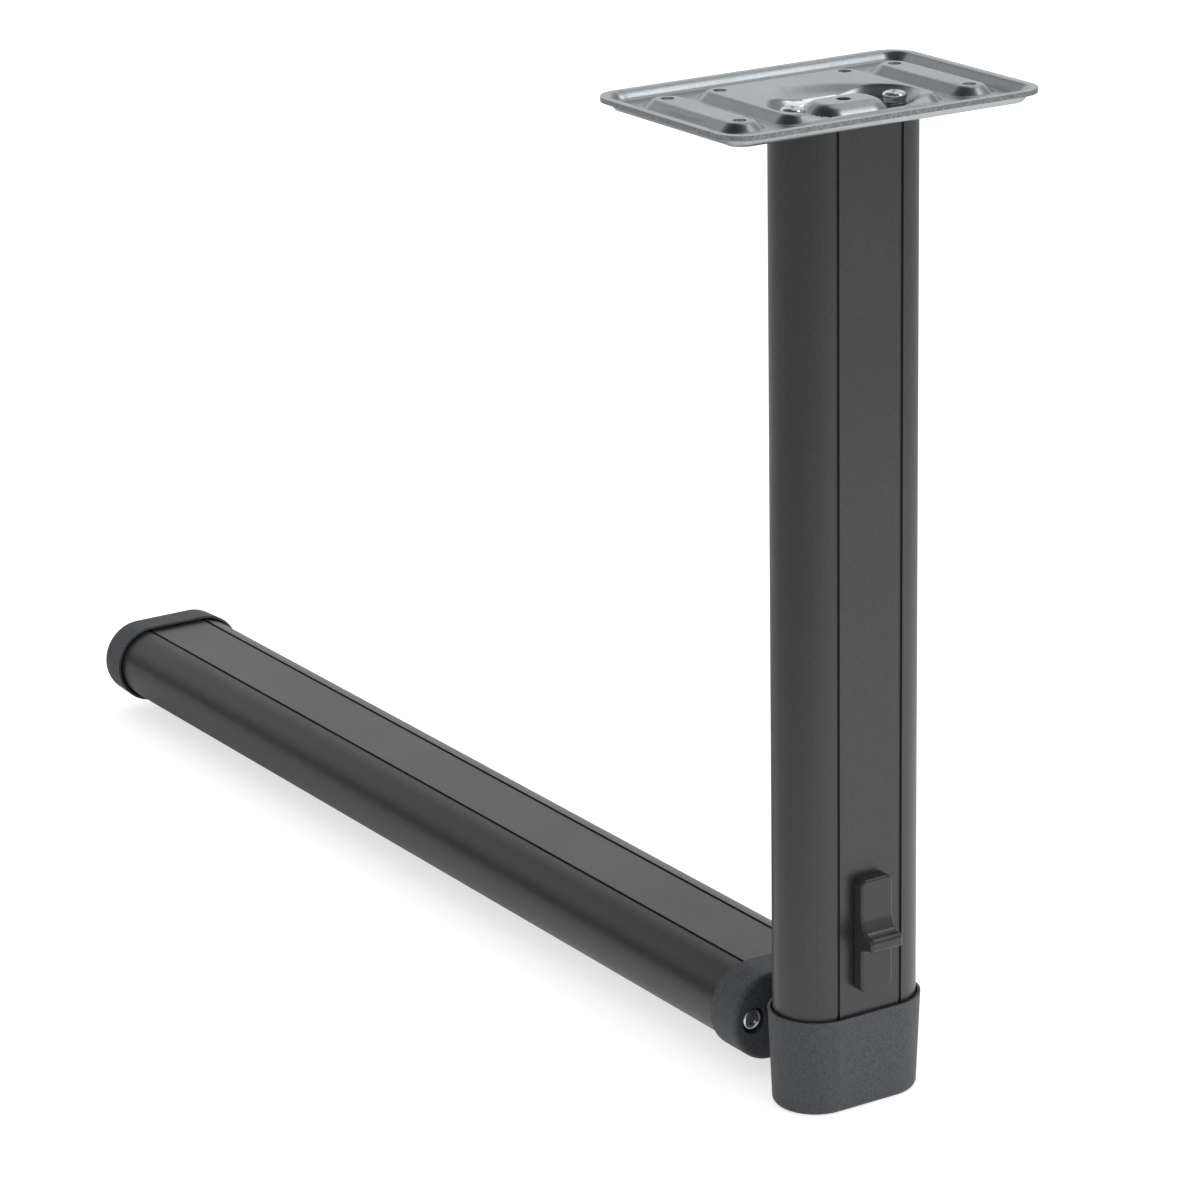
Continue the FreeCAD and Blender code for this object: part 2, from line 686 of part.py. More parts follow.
def foot_cap():
    """Moulded foot over the far end of the lower tube, with a hollow plug inside it."""
    body = new_body("foot_cap")
    outside = oval("(tube_width + 2 * cover_proud)", "(tube_depth + 2 * cover_proud)")
    sketch = draw(body, "mouth_rim", [outside], lift=FOOT_MOUTH)
    pad(body, "cup", sketch, "foot_length", taper="-atan(foot_draft / foot_length)")
    dress("PartDesign::Fillet", body, "foot_edge", "foot_edge", level("lower_length"))
    mouth = draw(body, "mouth_outline", [oval(MOUTH_WIDTH, MOUTH_DEPTH)], lift=FOOT_MOUTH)
    pocket(body, "mouth", mouth, "foot_length - cover_floor", forward=False)
    floor = "(lower_length - cover_floor)"
    width, depth = f"({PLUG_WIDTH} - 2 * foot_plug_wall)", f"({PLUG_DEPTH} - 2 * foot_plug_wall)"
    ring = [
        rounded(PLUG_WIDTH, PLUG_DEPTH, "plug_corner"),
        rounded(width, depth, "plug_corner / 2"),
    ]
    pad(body, "plug", draw(body, "plug_outline", ring, lift=floor), "foot_plug", forward=False)
    lay_down(body)


def pan_screw(label, length, **where):
    """Pan-head screw with a cross recess, head up, drawn with the seat of its head at z = 0."""
    body = new_body(label)
    head, shank, point = "head_diameter / 2", "screw_core / 2", "screw_core / 2"
    profile = [
        ("0", f"-({length})"),
        (f"{shank} / 2", f"-({length})"),
        (shank, f"-({length}) + {point}"),
        (shank, "0"),
        (head, "0"),
        (head, "head_side"),
        ("head_flat / 2", "head_height", "head_crown"),
        ("0", "head_height"),
    ]
    revolve(body, "turned", draw(body, "section", [profile], role="XZ_Plane"))
    long, wide = "recess_span / 2", "recess_width / 2"
    cross = [
        (wide, wide), (wide, long), (f"-{wide}", long),
        (f"-{wide}", wide), (f"-{long}", wide), (f"-{long}", f"-{wide}"),
        (f"-{wide}", f"-{wide}"), (f"-{wide}", f"-{long}"), (wide, f"-{long}"),
        (wide, f"-{wide}"), (long, f"-{wide}"), (long, wide),
    ]
    pocket(body, "recess", draw(body, "cross", [cross], lift="head_height"), "recess_depth")
    place(body, **where)


def ring_washer(label, outside, thickness, x, z, slit=None):
    body = new_body(label)
    sketch = circles(body, "ring", [("0", "0", outside), ("0", "0", "washer_bore")])
    pad(body, "disc", sketch, thickness)
    if slit is not None:
        half = f"{slit} / 2"
        gap = draw(body, "slit_outline", [box_outline(f"-{half}", half, f"-{outside}", "0")])
        pocket(body, "slit", gap, forward=False)
    place(body, x=x, z=z)


def plate_fastenings():
    """Two screws into the tube's ports, each over a spring washer and a plain washer."""
    for name, x in (("left", f"-{PORT_X}"), ("right", PORT_X)):
        ring_washer(f"plate_washer_{name}", "washer_diameter", "washer_thickness", x, POCKET_FLOOR)
        ring_washer(
            f"plate_spring_washer_{name}", "spring_washer_diameter", "spring_washer_thickness",
            x, f"{POCKET_FLOOR} + washer_thickness", slit="spring_washer_slit",
        )
        seat = f"{POCKET_FLOOR} + washer_thickness + spring_washer_thickness"
        pan_screw(f"plate_screw_{name}", "plate_screw_length", x=x, z=seat)


def knee_fastenings():
    """Two screws up through the fork, and two through the tongue into the lower tube."""
    for name, x in (("left", f"-{PORT_X}"), ("right", PORT_X)):
        pan_screw(
            f"fork_screw_{name}", "fork_screw_length",
            x=x, z="cover_floor", turn=Rotation(Vector(1, 0, 0), 180),
        )
        pan_screw(
            f"tongue_screw_{name}", "tongue_screw_length",
            x=x, y=f"{KNEE_FACE} + cover_floor", z=LYING_AXIS, turn=Rotation(Vector(1, 0, 0), 90),
        )


def combine(kind, name, first, second):
    """Two objects joined, or the second cut from the first."""
    result = doc.addObject(f"Part::{kind}", name)
    result.Base = first
    result.Tool = second
    result.Refine = True
    return result


def drafted_block(name, length, breadth, draft, low, high, y="0"):
    """A raised or sunk form: a rectangle at the low level that grows by draft to the high one."""
    block = doc.addObject("Part::Wedge", name)
    half, deep = f"({length}) / 2", f"({breadth}) / 2"
    values = {
        "Xmin": f"-{half}", "Xmax": half, "Zmin": f"-{deep}", "Zmax": deep,
        "X2min": f"-{half} - ({draft})", "X2max": f"{half} + ({draft})",
        "Z2min": f"-{deep} - ({draft})", "Z2max": f"{deep} + ({draft})",
        "Ymin": "0", "Ymax": f"({high}) - ({low})",
    }
    for prop, expression in values.items():
        bind(block, prop, expression)
    block.Placement = Placement(Vector(), Rotation(Vector(1, 0, 0), 90))
    bind(block, "Placement.Base.y", y)
    bind(block, "Placement.Base.z", low)
    doc.recompute()
    return block


def softened(name, base, radius, test):
    """A form with the edges that pass a test rounded."""
    doc.recompute()
    result = doc.addObject("Part::Fillet", name)
    result.Base = base
    size = number(radius)
    result.Edges = [(int(edge[4:]), size, size) for edge in edges_where(base.Shape, test)]
    doc.recompute()
    return result


def upright_edge(box):
    return box.ZLength > 0.5


def pressed_space(tag, offset):
    """The space above the sheet: the tray less its raised forms, with the sunk dish and
    pocket. With an offset it is the space above the sheet's lower face."""
    corner = f"({SLANT} * ({offset}))"
    floor = f"({PLATE_TOP} - tray_depth - ({offset}))"
    roof = f"({PLATE_TOP} + sheet_thickness)"
    slope = f"(tray_draft * ({roof} - {floor}) / tray_depth)"
    inner = f"(2 * lip_width + 2 * tray_draft - 2 * {corner})"
    tray = drafted_block(
        f"tray_{tag}", f"plate_length - {inner}", f"plate_width - {inner}", slope, floor, roof,
        y="plate_shift",
    )
    space = softened(f"tray_corners_{tag}", tray, f"tray_corner + ({offset}) / 2", upright_edge)
    raised_top = f"({PLATE_TOP} - ({offset}))"
    raised_low = f"({raised_top} - pocket_depth - sheet_thickness)"
    spread = "(form_draft * (pocket_depth + sheet_thickness) / tray_depth)"
    forms = {
        "strip_left": ("strip_width", "-strip_spacing / 2"),
        "strip_right": ("strip_width", "strip_spacing / 2"),
        "plateau": ("plateau_width", "0"),
    }
    for form, (width, x) in forms.items():
        block = drafted_block(
            f"{form}_{tag}", f"{width} + 2 * {spread} - 2 * {corner}",
            f"strip_reach + 2 * {spread} - 2 * {corner}", f"-{spread}", raised_low, raised_top,
            y="plate_shift",
        )
        bind(block, "Placement.Base.x", x)
        block = softened(f"{form}_round_{tag}", block, "form_round", upright_edge)
        space = combine("Cut", f"{form}_space_{tag}", space, block)
    sunk_floor = f"({POCKET_FLOOR} - ({offset}))"
    climb = f"(({roof} - {sunk_floor}) / pocket_depth)"
    dish_floor = f"({PLATE_TOP} - dish_depth - ({offset}))"
    flare = f"(dish_radius - dish_floor_radius) * ({roof} - {dish_floor}) / dish_depth"
    dish = doc.addObject("Part::Cone", f"dish_{tag}")
    bind(dish, "Radius1", "dish_floor_radius")
    bind(dish, "Radius2", f"dish_floor_radius + {flare}")
    bind(dish, "Height", f"{roof} - {dish_floor}")
    bind(dish, "Placement.Base.z", dish_floor)
    seat = oval_recess(f"pocket_{tag}", corner, f"(pocket_draft * {climb})", sunk_floor, roof)
    sunk = combine("Fuse", f"sunk_{tag}", dish, seat)
    space = combine("Fuse", f"sunk_space_{tag}", space, sunk)
    boss_low = f"({sunk_floor} - sheet_thickness)"
    boss_top = f"({PLATE_TOP} - boss_drop - ({offset}))"
    boss_spread = f"(boss_draft * ({boss_top} - {boss_low}) / (pocket_depth - boss_drop))"
    boss = drafted_block(
        f"boss_{tag}", f"boss_length + 2 * {boss_spread} - 2 * {corner}",
        f"boss_breadth + 2 * {boss_spread} - 2 * {corner}", f"-{boss_spread}", boss_low, boss_top,
    )
    boss = softened(f"boss_round_{tag}", boss, "boss_round", upright_edge)
    return combine("Cut", f"pressed_space_{tag}", space, boss)


def oval_recess(name, corner, rise, low, high):
    """A drafted oval: a block between two cones."""
    radius = f"(pocket_breadth / 2 + {corner})"
    straight = POCKET_STRAIGHT
    shape = drafted_block(f"{name}_middle", f"2 * {straight}", f"2 * {radius}", rise, low, high)
    for prop, sign in (("X2min", "-"), ("X2max", "")):
        bind(shape, prop, f"{sign}{straight}")
    for side in (-1, 1):
        cone = doc.addObject("Part::Cone", f"{name}_end_{'left' if side < 0 else 'right'}")
        bind(cone, "Radius1", radius)
        bind(cone, "Radius2", f"{radius} + {rise}")
        bind(cone, "Height", f"({high}) - ({low})")
        bind(cone, "Placement.Base.x", f"{side} * {straight}")
        bind(cone, "Placement.Base.z", low)
        shape = combine("Fuse", f"{name}_with_{'left' if side < 0 else 'right'}", shape, cone)
    return shape


def drill(name, diameter, x, y):
    """A round hole through the whole depth of the pressing."""
    rod = doc.addObject("Part::Cylinder", name)
    bind(rod, "Radius", f"{diameter} / 2")
    bind(rod, "Height", "pocket_depth + 3 * sheet_thickness")
    bind(rod, "Placement.Base.x", x)
    bind(rod, "Placement.Base.y", y)
    bind(rod, "Placement.Base.z", f"{TUBE_TOP} - sheet_thickness")
    return rod


def mounting_plate():
    """Pressed steel tray: lip, raised strips and plateau, sunk seat on the tube, centre boss."""
    lip = drafted_block(
        "lip_block", "plate_length", "plate_width", "0", f"{PLATE_TOP} - sheet_thickness", PLATE_TOP,
        y="plate_shift",
    )
    lip = softened("lip", lip, "plate_corner", upright_edge)
    below = pressed_space("under", "sheet_thickness")
    ceiling = drafted_block(
        "ceiling", "plate_length", "plate_width", "0", f"{TUBE_TOP} - 1", PLATE_TOP,
        y="plate_shift",
    )
    wall = combine("Common", "wall_block", below, ceiling)
    sheet_block = combine("Fuse", "sheet_block", lip, wall)
    plate = combine("Cut", "pressed_sheet", sheet_block, pressed_space("over", "0"))
    holes = [drill("boss_hole", "centre_hole", "0", "0")]
    for side, sign in (("left", "-"), ("right", "")):
        holes.append(drill(f"port_hole_{side}", "screw_clearance", f"{sign}{PORT_X}", "0"))
        middle, outer = f"{sign}middle_holes / 2", f"{sign}strip_spacing / 2"
        front, back = "plate_shift - fixing_rows / 2", "plate_shift + fixing_rows / 2"
        holes.append(drill(f"middle_hole_{side}", "fixing_hole", middle, back))
        holes.append(drill(f"front_hole_{side}", "fixing_hole", outer, front))
        holes.append(drill(f"back_hole_{side}", "fixing_hole", outer, back))
    drills = doc.addObject("Part::MultiFuse", "drills")
    drills.Shapes = holes
    finished(combine("Cut", "mounting_plate", plate, drills), "mounting_plate")


def check_document():
    """Stop if any object failed or any sub-part is null or invalid."""
    doc.recompute()
    for item in doc.Objects:
        if "Invalid" in item.State or "Error" in item.State:
            raise RuntimeError(f"{item.Label} failed: {item.State}")
    for item in parts:
        if item.Shape.isNull() or not item.Shape.isValid():
            raise RuntimeError(f"{item.Label} has no valid shape")


def write_parts():
    os.makedirs("parts", exist_ok=True)
    for item in parts:
        item.Shape.exportStep(os.path.join("parts", f"{item.Label}.step"))
        print(f"{item.Label}: {len(item.Shape.Solids)} solid, {item.Shape.Volume / 1000:.2f} cm3")


mounting_plate()
plate_fastenings()
upper_tube()
fork()
knee_cover()
hinge_pin()
latch_button()
lock_bolt()
coil_spring()
knee_fastenings()
hinge_tongue()
flanged_bush("bush_left", -1)
flanged_bush("bush_right", 1)
knee_end_cap()
lower_tube()
foot_cap()
check_document()
write_parts()
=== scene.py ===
"""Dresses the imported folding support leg: finishes on every piece, a pressed mounting plate,
a moulded latch slider, screws and washers, and a plain studio to look at them in.

Metres throughout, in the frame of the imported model: the origin is on the upper tube's axis
at the level of the knee cover's base, +Z is up to the table and the slider faces -Y.
"""

import math
from contextlib import contextmanager

import bmesh
import bpy
import numpy as np
from bpy.props import FloatProperty, FloatVectorProperty, IntProperty, PointerProperty
from mathutils import Matrix, Vector


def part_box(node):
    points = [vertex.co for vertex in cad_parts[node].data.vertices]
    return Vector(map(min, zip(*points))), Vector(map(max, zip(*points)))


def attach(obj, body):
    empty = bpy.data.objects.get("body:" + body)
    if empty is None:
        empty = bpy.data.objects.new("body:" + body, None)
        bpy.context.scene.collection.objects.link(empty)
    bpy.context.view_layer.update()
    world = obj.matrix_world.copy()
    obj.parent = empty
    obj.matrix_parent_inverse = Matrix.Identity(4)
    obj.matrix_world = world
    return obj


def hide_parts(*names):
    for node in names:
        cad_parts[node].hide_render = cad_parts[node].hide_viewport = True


bl_info = {
    "name": "Folding support leg",
    "version": (1, 0, 0),
    "blender": (4, 5, 0),
    "location": "3D View > Sidebar > Leg",
    "description": "Builds the finishes and fine pieces of a folding table leg around its packed frame",
    "category": "Object",
}

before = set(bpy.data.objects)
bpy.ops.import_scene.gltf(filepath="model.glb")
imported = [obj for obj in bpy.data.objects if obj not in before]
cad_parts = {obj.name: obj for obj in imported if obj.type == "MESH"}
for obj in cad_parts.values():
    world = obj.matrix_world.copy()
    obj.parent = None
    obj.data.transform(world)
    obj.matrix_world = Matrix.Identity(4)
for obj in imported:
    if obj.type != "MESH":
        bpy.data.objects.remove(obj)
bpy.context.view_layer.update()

MM = 0.001
PHOTO_SIDE = 1181

UPPER, LATCH, LOWER = "upper_half", "latch", "lower_half"
SLIDER_LOW, SLIDER_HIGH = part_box("latch_button")
TUBE_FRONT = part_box("upper_tube")[0].y
SCREW_X = sum(corner.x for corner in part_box("plate_screw_right")) / 2

# Half sizes of the part of the plate's mesh that is finer, over the seat and the raised middle.
FINE_REACH_X, FINE_REACH_Y = 27.0 * MM, 28.5 * MM

# Places, targets and sizes of the lamps, and the middle of the painted patch of light that the floor shows in
# gloss.
KEY_PLACE, KEY_TARGET, KEY_SIZE, KEY_SPREAD = (0.52, -0.92, 0.16), (0, 0, 0.03), (0.9, 0.5), 80
SOFTBOX_PLACE, SOFTBOX_TARGET, SOFTBOX_SIZE = (0.62, -0.48, 1.23), (0, 0.02, 0.30), (0.46, 0.46)
PAINTED_POOL_CENTRE = (0.17, -0.27, 0)

# Directions that the world is brighter or darker in, as azimuths from +Y toward +X and elevations.
BRIGHT_BACKDROP, DARK_GAP, BRIGHT_ABOVE = (20, 12), (-37, 5), (66, 56)


def number(name, default, description, **options):
    return FloatProperty(name=name, description=description, default=default, **options)


def length(name, default, description):
    return number(name, default, description, unit="LENGTH", precision=5)


def angle(name, degrees, description):
    return number(name, math.radians(degrees), description, subtype="ANGLE")


def colour(name, default, description):
    return FloatVectorProperty(
        name=name, description=description, default=default, subtype="COLOR", size=3, min=0, max=1
    )


class PlateSizes(bpy.types.PropertyGroup):
    """Forms of the pressed mounting plate, in its own top plane."""

    top: length("Top plane", 0.324, "Height of the face that meets the table")
    long_side: length("Length", 0.116, "Outside length along X")
    short_side: length("Width", 0.0775, "Outside width along Y")
    shift: length("Shift", 0.0126, "How far the plate's centre lies behind the tube's axis")
    corner: length("Corner", 0.0095, "Radius of the outside corners")
    sheet: length("Sheet", 0.0015, "Thickness of the steel sheet")
    lip: length("Lip", 0.0026, "Width of the flat lip")
    wall: length("Wall", 0.0026, "Width in plan of the sloping wall inside the lip")
    tray: length("Tray depth", 0.0029, "Depth of the tray's floor under the lip")
    slope: length("Slope", 0.0032, "Width in plan of the slopes of the raised forms")
    strip_width: length("Strip", 0.0085, "Width of the top of each raised cross strip")
    strip_spacing: length("Strip spacing", 0.0844, "Distance between the two cross strips")
    reach: length("Reach", 0.0462, "Length of the raised forms along Y")
    plateau: length("Middle", 0.054, "Width of the raised middle")
    dish: length("Dish", 0.024, "Radius of the wide dish at the top")
    dish_floor: length("Dish floor", 0.013, "Radius of the wide dish at its floor")
    dish_depth: length("Dish depth", 0.0019, "Depth of the wide dish")
    pocket: length("Seat depth", 0.0042, "Depth of the seat on the tube")
    seat_length: length("Seat length", 0.0456, "Length of the seat's floor")
    seat_width: length("Seat width", 0.022, "Width of the seat's floor")
    seat_slope: length("Seat slope", 0.0027, "Width in plan of the seat's wall over its whole depth")
    boss_length: length("Boss length", 0.017, "Length of the centre boss's top")
    boss_width: length("Boss width", 0.008, "Width of the centre boss's top")
    boss_slope: length("Boss slope", 0.0056, "Width in plan of the boss's domed sides")
    boss_drop: length("Boss drop", 0.0003, "How far the boss stays under the top plane")
    hole: length("Fixing hole", 0.0042, "Diameter of the fixing holes")
    centre_hole: length("Centre hole", 0.0045, "Diameter of the hole in the boss")
    port_hole: length("Screw hole", 0.0044, "Diameter of the holes for the tube's screws")
    hole_rows: length("Hole rows", 0.0382, "Distance between the two rows of fixing holes")
    middle_holes: length("Middle holes", 0.0464, "Distance between the two middle holes")
    bend: length("Bend", 0.0004, "How much the press rounds each bend")
    grid: length("Grid", 0.00046, "Spacing of the mesh over the seat")


class SliderSizes(bpy.types.PropertyGroup):
    """The latch slider's moulded form."""

    width: length("Width", 0.012, "Width across the slider")
    corner: length("Corner", 0.0022, "Radius of the corners seen from the front")
    proud: length("Proud", 0.0044, "How far the face stands from the tube")
    ridge: length("Ridge", 0.0100, "How far the finger ridge stands from the tube")
    ridge_height: length("Ridge height", 0.0565, "Height of the ridge's lower edge")
    ridge_thickness: length("Ridge thickness", 0.0044, "Thickness of the ridge")
    ridge_round: length("Ridge round", 0.0018, "Radius of the ridge's upper edge")
    ridge_edge: length("Ridge edge", 0.0012, "Radius of the ridge's lower edge")
    cove: length("Cove", 0.0066, "Radius of the finger cove over the ridge")
    root: length("Root", 0.0542, "Height at which the ridge's underside meets the face")
    root_round: length("Root round", 0.0016, "Radius at which the ridge's underside meets the face")
    edge: length("Edge", 0.0010, "Radius of the long edges")
    neck: length("Neck", 0.006, "Width of the neck through the tube's slot")
    neck_height: length("Neck height", 0.015, "Length of the neck along the tube")
    neck_place: length("Neck place", 0.0595, "Height of the neck's middle")


class ScrewSizes(bpy.types.PropertyGroup):
    """Pan-head screws, their washers and cross recesses."""

    head: length("Head", 0.0076, "Diameter of the head")
    height: length("Height", 0.0024, "Height of the head")
    shank: length("Shank", 0.0036, "Diameter of the shank at its core")
    recess: length("Recess", 0.0046, "Span of the cross recess")
    recess_width: length("Recess width", 0.0012, "Width of the recess's arms")
    recess_depth: length("Recess depth", 0.0016, "Depth of the cross recess")
    washer: length("Washer", 0.0074, "Outside diameter of the plain washer")
    washer_thickness: length("Washer thickness", 0.0006, "Thickness of the plain washer")
    spring: length("Spring washer", 0.0069, "Outside diameter of the split washer")
    spring_thickness: length("Spring washer thickness", 0.0009, "Thickness of the split washer")
    bore: length("Washer bore", 0.0042, "Diameter of the washers' holes")
    segments: IntProperty(name="Segments", description="Sides of the turned parts", default=48, min=12)
    seed: IntProperty(name="Seed", description="Fixes how far each screw is turned", default=7)


class FinishColours(bpy.types.PropertyGroup):
    """Base colours of the finishes."""

    tube: colour("Tube", (0.024, 0.0242, 0.0252), "Dark anodised aluminium")
    caps: colour("Caps", (0.058, 0.061, 0.068), "Grained plastic of the caps")
    slider: colour("Slider", (0.034, 0.0345, 0.036), "Satin plastic of the slider")
    zinc: colour("Zinc plate", (0.415, 0.443, 0.456), "Zinc-plated sheet")
    cut: colour("Cut edge", (0.34, 0.345, 0.35), "Sheared edge of the sheet")
    steel: colour("Bright steel", (0.64, 0.65, 0.66), "Screws and split washers")
    casting: colour("Casting", (0.30, 0.31, 0.32), "Cast zinc of the hinge")
    bearing: colour("Bearing", (0.62, 0.61, 0.56), "Pale bearing plastic")


class StudioSettings(bpy.types.PropertyGroup):
    """The camera's place and the lamps."""

    azimuth: angle("Azimuth", 32.392, "Turn of the view about Z")
    tilt: angle("Tilt", 18.104, "How far the view looks down")
    roll: angle("Roll", -1.05, "Turn of the picture")
    distance: length("Distance", 1.50476, "From the camera to the aim point, along the view")
    focal: number("Focal length", 4696.5, "Focal length in pixels of the photograph")
    aim_x: number("Aim across", 844.206, "Pixel column of the aim point")
    aim_y: number("Aim down", 1072.36, "Pixel row of the aim point")
    aim_height: length("Aim height", 0.0063, "Height of the aim point on the upper tube's axis")
    key: number("Key", 1.1, "Power of the low front lamp in watts")
    softbox: number("Softbox", 2.1, "Power of the small lamp above in watts")
    ambient: number("Ambient", 0.72, "Even light from all round")
    backdrop: number("Backdrop", 0.85, "Brightness of the backdrop in gloss")
    floor_colour: colour("Floor", (0.80, 0.80, 0.80), "Pale floor")


def link(tree, source, target):
    tree.links.new(source, target)


def feed(tree, value, socket):
    """Set a socket to a plain value, or link it to the socket that the value comes from."""
    if isinstance(value, bpy.types.NodeSocket):
        link(tree, value, socket)
    else:
        socket.default_value = value


def group_sockets(group, inputs, outputs):
    for name, kind, default in inputs:
        socket = group.interface.new_socket(name=name, in_out="INPUT", socket_type=kind)
        if default is not None:
            socket.default_value = default
    for name, kind in outputs:
        group.interface.new_socket(name=name, in_out="OUTPUT", socket_type=kind)
    return group.nodes.new("NodeGroupInput"), group.nodes.new("NodeGroupOutput")


def noise(tree, vector, scale, detail=2.0, roughness=0.5):
    node = tree.nodes.new("ShaderNodeTexNoise")
    link(tree, vector, node.inputs["Vector"])
    feed(tree, scale, node.inputs["Scale"])
    node.inputs["Detail"].default_value = detail
    node.inputs["Roughness"].default_value = roughness
    return node.outputs["Fac"]


def spread(tree, value, low, high, source=(0.0, 1.0)):
    """A mask or texture value stretched to run from low to high, smoothly where it has a source range."""
    node = tree.nodes.new("ShaderNodeMapRange")
    if source != (0.0, 1.0):
        node.interpolation_type = "SMOOTHSTEP"
    node.inputs["From Min"].default_value, node.inputs["From Max"].default_value = source
    link(tree, value, node.inputs["Value"])
    feed(tree, low, node.inputs["To Min"])
    feed(tree, high, node.inputs["To Max"])
    return node.outputs["Result"]


def arithmetic(tree, operation, *values):
    node = tree.nodes.new("ShaderNodeMath")
    node.operation = operation
    for socket, value in zip(node.inputs, values):
        feed(tree, value, socket)
    return node.outputs[0]


def times(tree, a, b):
    return arithmetic(tree, "MULTIPLY", a, b)


def shade(tree, tint, factor):
    """A colour made lighter or darker by a factor that varies over the surface."""
    node = tree.nodes.new("ShaderNodeVectorMath")
    node.operation = "SCALE"
    link(tree, tint, node.inputs[0])
    link(tree, factor, node.inputs["Scale"])
    return node.outputs[0]


def grain_group():
    """Moulded or blasted grain: a height for bump, and colour and roughness that follow it."""
    group = bpy.data.node_groups.new("surface_grain", "ShaderNodeTree")
    source, result = group_sockets(
        group,
        [("Vector", "NodeSocketVector", None), ("Color", "NodeSocketColor", (0.5, 0.5, 0.5, 1)),
         ("Grain scale", "NodeSocketFloat", 2500.0), ("Colour spread", "NodeSocketFloat", 0.1),
         ("Roughness", "NodeSocketFloat", 0.5), ("Roughness spread", "NodeSocketFloat", 0.05)],
        [("Color", "NodeSocketColor"), ("Roughness", "NodeSocketFloat"), ("Height", "NodeSocketFloat")],
    )
    fine = noise(group, source.outputs["Vector"], source.outputs["Grain scale"], 3.0, 0.6)
    broad = noise(group, source.outputs["Vector"], 38.0, 3.0)
    low = arithmetic(group, "SUBTRACT", 1.0, source.outputs["Colour spread"])
    high = arithmetic(group, "ADD", 1.0, source.outputs["Colour spread"])
    factor = spread(group, times(group, fine, spread(group, broad, 0.85, 1.15)), low, high)
    link(group, shade(group, source.outputs["Color"], factor), result.inputs["Color"])
    least = arithmetic(group, "SUBTRACT", source.outputs["Roughness"], source.outputs["Roughness spread"])
    most = arithmetic(group, "ADD", source.outputs["Roughness"], source.outputs["Roughness spread"])
    link(group, spread(group, broad, least, most), result.inputs["Roughness"])
    link(group, fine, result.inputs["Height"])
    return group


def drawn_group():
    """Fine die lines that run the length of a drawn or rolled surface."""
    group = bpy.data.node_groups.new("drawn_lines", "ShaderNodeTree")
    source, result = group_sockets(
        group,
        [("Vector", "NodeSocketVector", None), ("Stretch", "NodeSocketVector", (1, 1, 0.01)),
         ("Line scale", "NodeSocketFloat", 3000.0)],
        [("Lines", "NodeSocketFloat")],
    )
    squeeze = group.nodes.new("ShaderNodeVectorMath")
    squeeze.operation = "MULTIPLY"
    link(group, source.outputs["Vector"], squeeze.inputs[0])
    link(group, source.outputs["Stretch"], squeeze.inputs[1])
    lines = noise(group, squeeze.outputs[0], source.outputs["Line scale"], 2.0)
    link(group, lines, result.inputs["Lines"])
    return group


def start_material(name):
    material = bpy.data.materials.new(name)
    material.use_nodes = True
    tree = material.node_tree
    shader = tree.nodes["Principled BSDF"]
    place = tree.nodes.new("ShaderNodeTexCoord")
    return material, tree, shader, place.outputs["Object"]


def use_group(tree, name, vector, **values):
    node = tree.nodes.new("ShaderNodeGroup")
    node.node_tree = bpy.data.node_groups[name]
    link(tree, vector, node.inputs["Vector"])
    for key, value in values.items():
        node.inputs[key.replace("_", " ")].default_value = value
    return node


def add_bump(tree, shader, height, distance):
    bump = tree.nodes.new("ShaderNodeBump")
    bump.inputs["Distance"].default_value = distance
    bump.inputs["Strength"].default_value = 1.0
    link(tree, height, bump.inputs["Height"])
    link(tree, bump.outputs["Normal"], shader.inputs["Normal"])


def rgba(tint):
    return (tint[0], tint[1], tint[2], 1.0)


def grained(name, tint, scale, depth, rough, spread_of_colour=0.1, metallic=0.0, rough_spread=0.05):
    """A finish with an even grain, such as moulded plastic, a casting or blasted metal."""
    material, tree, shader, place = start_material(name)
    grain = use_group(
        tree, "surface_grain", place, Color=rgba(tint), Grain_scale=scale, Colour_spread=spread_of_colour,
        Roughness=rough, Roughness_spread=rough_spread,
    )
    link(tree, grain.outputs["Color"], shader.inputs["Base Color"])
    link(tree, grain.outputs["Roughness"], shader.inputs["Roughness"])
    shader.inputs["Metallic"].default_value = metallic
    add_bump(tree, shader, grain.outputs["Height"], depth)
    return material


def anodised(name, tint, stretch):
    """Dark anodised extrusion: a fine matt grain over faint lines along its length."""
    material, tree, shader, place = start_material(name)
    grain = use_group(
        tree, "surface_grain", place, Color=rgba(tint), Grain_scale=1300.0, Colour_spread=0.6,
        Roughness=0.33, Roughness_spread=0.05,
    )
    lines = use_group(tree, "drawn_lines", place, Stretch=stretch, Line_scale=1900.0)
    factor = spread(tree, lines.outputs["Lines"], 0.93, 1.07)
    link(tree, shade(tree, grain.outputs["Color"], factor), shader.inputs["Base Color"])
    link(tree, grain.outputs["Roughness"], shader.inputs["Roughness"])
    shader.inputs["IOR"].default_value = 1.6
    height = arithmetic(tree, "MULTIPLY_ADD", grain.outputs["Height"], 0.5, lines.outputs["Lines"])
    add_bump(tree, shader, height, 0.000022)
    return material


